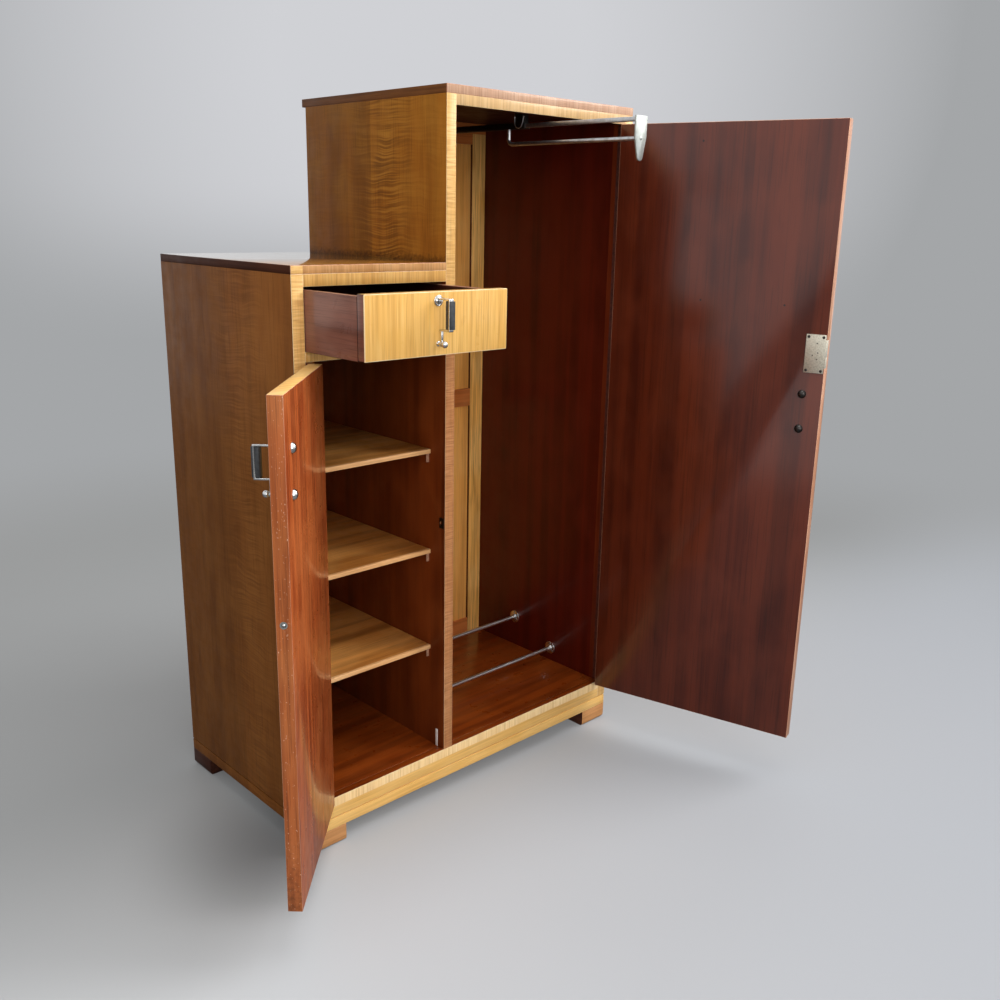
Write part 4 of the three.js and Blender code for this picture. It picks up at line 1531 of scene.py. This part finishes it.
@dataclass
class ShoeRails:
    """Two steel rails near the floor, each with a round flange at its ends.

    Attributes:
        rows: For each rail its name, its setback and its height.
        ends: x of the two walls.
        flange: Thickness of a flange.
        circle: Radius of the circle on which its screws lie.
    """

    rows: tuple[tuple[str, float, float], ...] = (
        ("shoe_rail_front", 177.0, 146.6),
        ("shoe_rail_rear", 317.0, 194.7),
    )
    ends: tuple[float, float] = (382.5, 890.0)
    flange: float = 3.0
    circle: float = 12.4

    def build(self) -> None:
        """Dresses the rails and screws their flanges on."""
        places = []
        for name, y, z in self.rows:
            turned(name, CASE, RAIL_STEEL, 0.5, (CHROME, facing(0, 1)), (CHROME, facing(0, -1)))
            for wall, way in zip(self.ends, (1, -1)):
                for turn in (90, 210, 330):
                    angle = math.radians(turn)
                    across, up = self.circle * math.cos(angle), self.circle * math.sin(angle)
                    spot = (wall + way * self.flange, y + across, z + up)
                    places.append((spot, (way, 0, 0), turn + 20))
        screws = Screws(2.5, 0.9, 0.7).row("flange_screws", places, NICKEL)
        screws.fit(CASE, "cabinet", "steel")


@dataclass
class Hinges:
    """Continuous hinges of both doors.

    Attributes:
        leaves: Each leaf with what it belongs to.
    """

    leaves: tuple[tuple[str, Setting], ...] = (
        ("low_case", CASE), ("low_door", LOW_DOOR), ("tall_case", CASE), ("tall_door", TALL_DOOR)
    )

    def build(self) -> None:
        """Dresses the leaves and knuckles."""
        for name, setting in self.leaves:
            turned(f"hinge_{name}", setting, BRASS, 0.15)


# Studio

WALL_GREY = "#a4a6a8"


@dataclass(frozen=True)
class FloorPaint(Finish):
    """Pale matt paint with painted light and shade, which grows darker and plainer towards the
    backdrop.

    Attributes:
        right: Direction to the right on the floor, as the camera sees it.
        sides: Painted light and shade: colour of the lit paint on the left, right and behind the
            front.
        seen: The same as the camera sees them.
        shade: Middle of the painted shadow beside the low side, in closed cabinet millimetres.
        painted_shadow_edges: Lines that end the painted shadow: direction into the shade, a point
        on the line in the same millimetres, and half the width of its blur in metres.
    """

    right: Point = (0.716, -0.698, 0.0)
    sides: tuple[str, str, str] = ("#d2d3d4", "#9a9ca1", "#a2a3a3")
    seen: tuple[str, str, str] = ("#d0d2d3", "#b5b8bd", "#9a9b9b")
    shade: Point = (-10.0, 60.0, 0.0)
    painted_shadow_edges: tuple[tuple[Point, Point, float], ...] = (
        ((0.54, 0.84, 0.0), (-206.0, -76.0, 0.0), 0.06),
        ((-0.719, 0.695, 0.0), (27.0, 0.0, 0.0), 0.03),
    )

    def surface(self, tree: bpy.types.NodeTree) -> Any:
        """Mixes lit paint near the object with a plain glow far from it.

        Args:
            tree: The material's node tree, empty so far.

        Returns:
            The shader's socket.
        """
        place = put(tree, "TexCoord", out="Object")
        far = put(tree, "VectorMath", {0: place}, "Value", operation="LENGTH")
        # Painted light: the camera sees a plain glow, even near the object, which lifts the floor's
        # shadows
        share = put(
            tree, "MapRange", {"Value": far, "From Min": 1.0, "From Max": 2.8, "To Min": 0.24},
            interpolation_type="SMOOTHERSTEP",
        )
        rays = put(tree, "LightPath").node.outputs
        glossy = rays["Is Glossy Ray"]
        direct = put(tree, "Math", {0: share, 1: rays["Is Camera Ray"]}, **TIMES)
        # Painted reflection: reflections see the floor mostly as a dark plain glow
        mirrored = put(tree, "Math", {0: glossy, 1: 0.7}, **TIMES)
        amount = put(tree, "Math", {0: direct, 1: mirrored}, operation="MAXIMUM")
        aside = put(tree, "VectorMath", {0: place, 1: self.right}, **DOT)
        depth = put(tree, "SeparateXYZ", {"Vector": place}, "Y")
        # Painted shadow: beside the low side, where the open door keeps the room's light from the
        # floor
        middle = {0: place, 1: CASE.place(*self.shade)}
        middle = put(tree, "VectorMath", middle, "Value", operation="DISTANCE")
        # Painted light and shade across the floor: lighter on the left, darker on the right and
        # behind the front
        tone, behind, distant, shade = (
            put(
                tree, "MapRange",
                {"Value": value, "From Min": low, "From Max": high, "To Max": top}, **SMOOTH,
            )
            for value, low, high, top in (
                (aside, -1.3, 1.5, 1.0), (depth, -0.35, 0.6, 1.0),
                (far, 2.0, 4.0, 1.0), (middle, 0.36, 0.0, 0.54),
            )
        )
        for normal, spot, blur in self.painted_shadow_edges:
            edge = Vector(normal).dot(CASE.place(*spot))
            reach = put(tree, "VectorMath", {0: place, 1: normal}, **DOT)
            marks = {"From Min": edge - blur, "From Max": edge + blur}
            inside = put(tree, "MapRange", {"Value": reach, **marks}, **SMOOTH)
            shade = put(tree, "Math", {0: shade, 1: inside}, **TIMES)

        def layers(first: str, right: str, back: str, *others: tuple[Any, str]) -> Any:
            """Lays the sides' colours over the first one, and then others.

            Args:
                first: Colour on the left.
                right: Colour on the right.
                back: Colour behind the front.
                *others: Further colours, each after its share.

            Returns:
                The last colour's socket.
            """
            colour = linear(first)
            for part, over in ((tone, right), (behind, back), (shade, "#000000"), *others):
                colour = put(tree, "Mix", {0: part, 6: colour, 7: linear(over)}, 2, **RGBA)
            return colour

        # Seen colours fade to the backdrop far off; in reflections they are a painted dark grey
        shown = layers(*self.seen, (distant, WALL_GREY), (glossy, "#404143"))
        scuffs = put(tree, "TexNoise", {"Vector": place, "Scale": 2.0, "Detail": 3.0})
        rough = put(tree, "MapRange", {"Value": scuffs, "To Min": 0.45, "To Max": 0.65})
        matt = {"Base Color": layers(*self.sides), "Roughness": rough}
        glow = put(tree, "Emission", {"Color": shown, "Strength": 1.0})
        return put(tree, "MixShader", {0: amount, 1: put(tree, "BsdfPrincipled", matt), 2: glow})


@dataclass
class Studio:
    """Pale floor, soft light and the photograph's camera.

    Attributes:
        eye: Where the camera stands, in closed cabinet millimetres.
        yaw: Its heading in degrees from +y towards +x.
        pitch: Its tilt in degrees, negative down.
        roll: Its roll in degrees.
        focal: Its focal length in pixels of the 1000 pixel frame.
        centre: The picture point on the lens's axis, in pixels.
        pool: Direction in which the backdrop is brightest.
        lamps: For each lamp its name, where it hangs and the point that it looks at, in
            metres, the side of its square screen in metres and its power in watts.
    """

    eye: Point = (-982.0, -1572.3, 1286.5)
    yaw: float = 44.28
    pitch: float = -15.37
    roll: float = 1.28
    focal: float = 1010.3
    centre: tuple[float, float] = (510.3, 492.9)
    pool: Point = (0.631, 0.764, 0.134)
    lamps: tuple[tuple[str, Point, Point, float, float], ...] = (
        ("key_lamp", (2.87, -2.08, 3.47), (0.0, 0.0, 0.7), 2.4, 140),
        ("fill_lamp", (-1.3, -3.4, 2.0), (0.0, 0.0, 0.7), 2.4, 58),
        ("top_lamp", (0.3, -1.1, 4.2), (0.1, -0.4, 0.0), 2.6, 74),
    )

    def camera(self) -> None:
        """Makes the camera and sets it for the render."""
        yaw, pitch, roll = (math.radians(a) for a in (self.yaw, self.pitch, self.roll))
        level = math.cos(pitch)
        ahead = Vector((math.sin(yaw) * level, math.cos(yaw) * level, math.sin(pitch)))
        right = Vector((math.cos(yaw), -math.sin(yaw), 0))
        up = right.cross(ahead)
        right, up = (
            right * math.cos(roll) + up * math.sin(roll),
            up * math.cos(roll) - right * math.sin(roll),
        )
        data = bpy.data.cameras.new("camera")
        data.sensor_width = 36.0
        data.lens = self.focal / 1000 * data.sensor_width
        data.shift_x = (500 - self.centre[0]) / 1000
        data.shift_y = (self.centre[1] - 500) / 1000
        made = Piece.of_data("camera", data).made
        turn = Matrix((right, up, -ahead)).transposed().to_4x4()
        made.matrix_world = Matrix.Translation(CASE.place(*self.eye)) @ turn
        bpy.context.scene.camera = made

    def ground(self) -> None:
        """Makes the floor."""
        Piece.clear()
        bpy.ops.mesh.primitive_circle_add(
            vertices=96, radius=9, fill_type="NGON", location=(0, 0, 0)
        )
        floor = Piece.added("studio_floor").coat(FloorPaint("painted studio floor"))

    def sky(self) -> None:
        """Soft light from all round, with the backdrop's grey where it is seen."""
        world = bpy.data.worlds.new("studio")
        bpy.context.scene.world = world
        world.use_nodes = True
        tree = world.node_tree
        tree.nodes.clear()
        way = put(tree, "TexCoord", out="Generated")
        near = put(tree, "VectorMath", {0: way, 1: self.pool}, **DOT)
        height = put(tree, "SeparateXYZ", {"Vector": way}, "Z")
        marks = {"From Min": -0.13, "From Max": 0.03}
        rise = put(tree, "MapRange", {"Value": height, **marks}, **SMOOTH)
        pool = put(tree, "MapRange", {"Value": near, "From Min": 0.895, "From Max": 0.99})
        share = put(tree, "Math", {0: rise, 1: pool}, **TIMES)
        greys = {6: linear(WALL_GREY), 7: linear("#d0d1d5")}
        colour = put(tree, "Mix", {0: share, **greys}, 2, **RGBA)
        backdrop = put(tree, "Background", {"Color": colour, "Strength": 1.0})
        rays = put(tree, "LightPath").node.outputs
        # The polished tops mirror the backdrop, which is duller than the rest of the room
        mirrored = put(tree, "MapRange", {"Value": pool, "To Min": 1.05, "To Max": 0.66})
        power = {"Value": rays["Is Glossy Ray"], "To Min": 0.5, "To Max": mirrored}
        light = {"Color": linear("#f4f6f8"), "Strength": put(tree, "MapRange", power)}
        soft = put(tree, "Background", light)
        both = put(tree, "MixShader", {0: rays["Is Camera Ray"], 1: soft, 2: backdrop})
        put(tree, "OutputWorld", {"Surface": both})

    def build(self) -> None:
        """Sets up camera, floor and light."""
        bpy.context.scene.view_settings.view_transform = "Standard"
        self.camera()
        self.ground()
        self.sky()
        for name, place, aim, size, power in self.lamps:
            data = bpy.data.lights.new(name, "AREA")
            data.shape = "SQUARE"
            data.size = size
            data.energy = power
            made = Piece.of_data(name, data).made
            made.location = place
            look = Vector(aim) - Vector(place)
            made.rotation_euler = look.to_track_quat("-Z", "Y").to_euler()


def main() -> None:
    """Builds the scene and notes the size of what it shows."""
    logging.basicConfig(level=logging.INFO, format="%(message)s")
    Studio().build()
    for part in (Carcass(), LowDoor(), TallDoor(), Drawer(), HangingRail(), ShoeRails(), Hinges()):
        log.info("building %s", type(part).__name__)
        part.build()


if __name__ == "__main__":
    main()
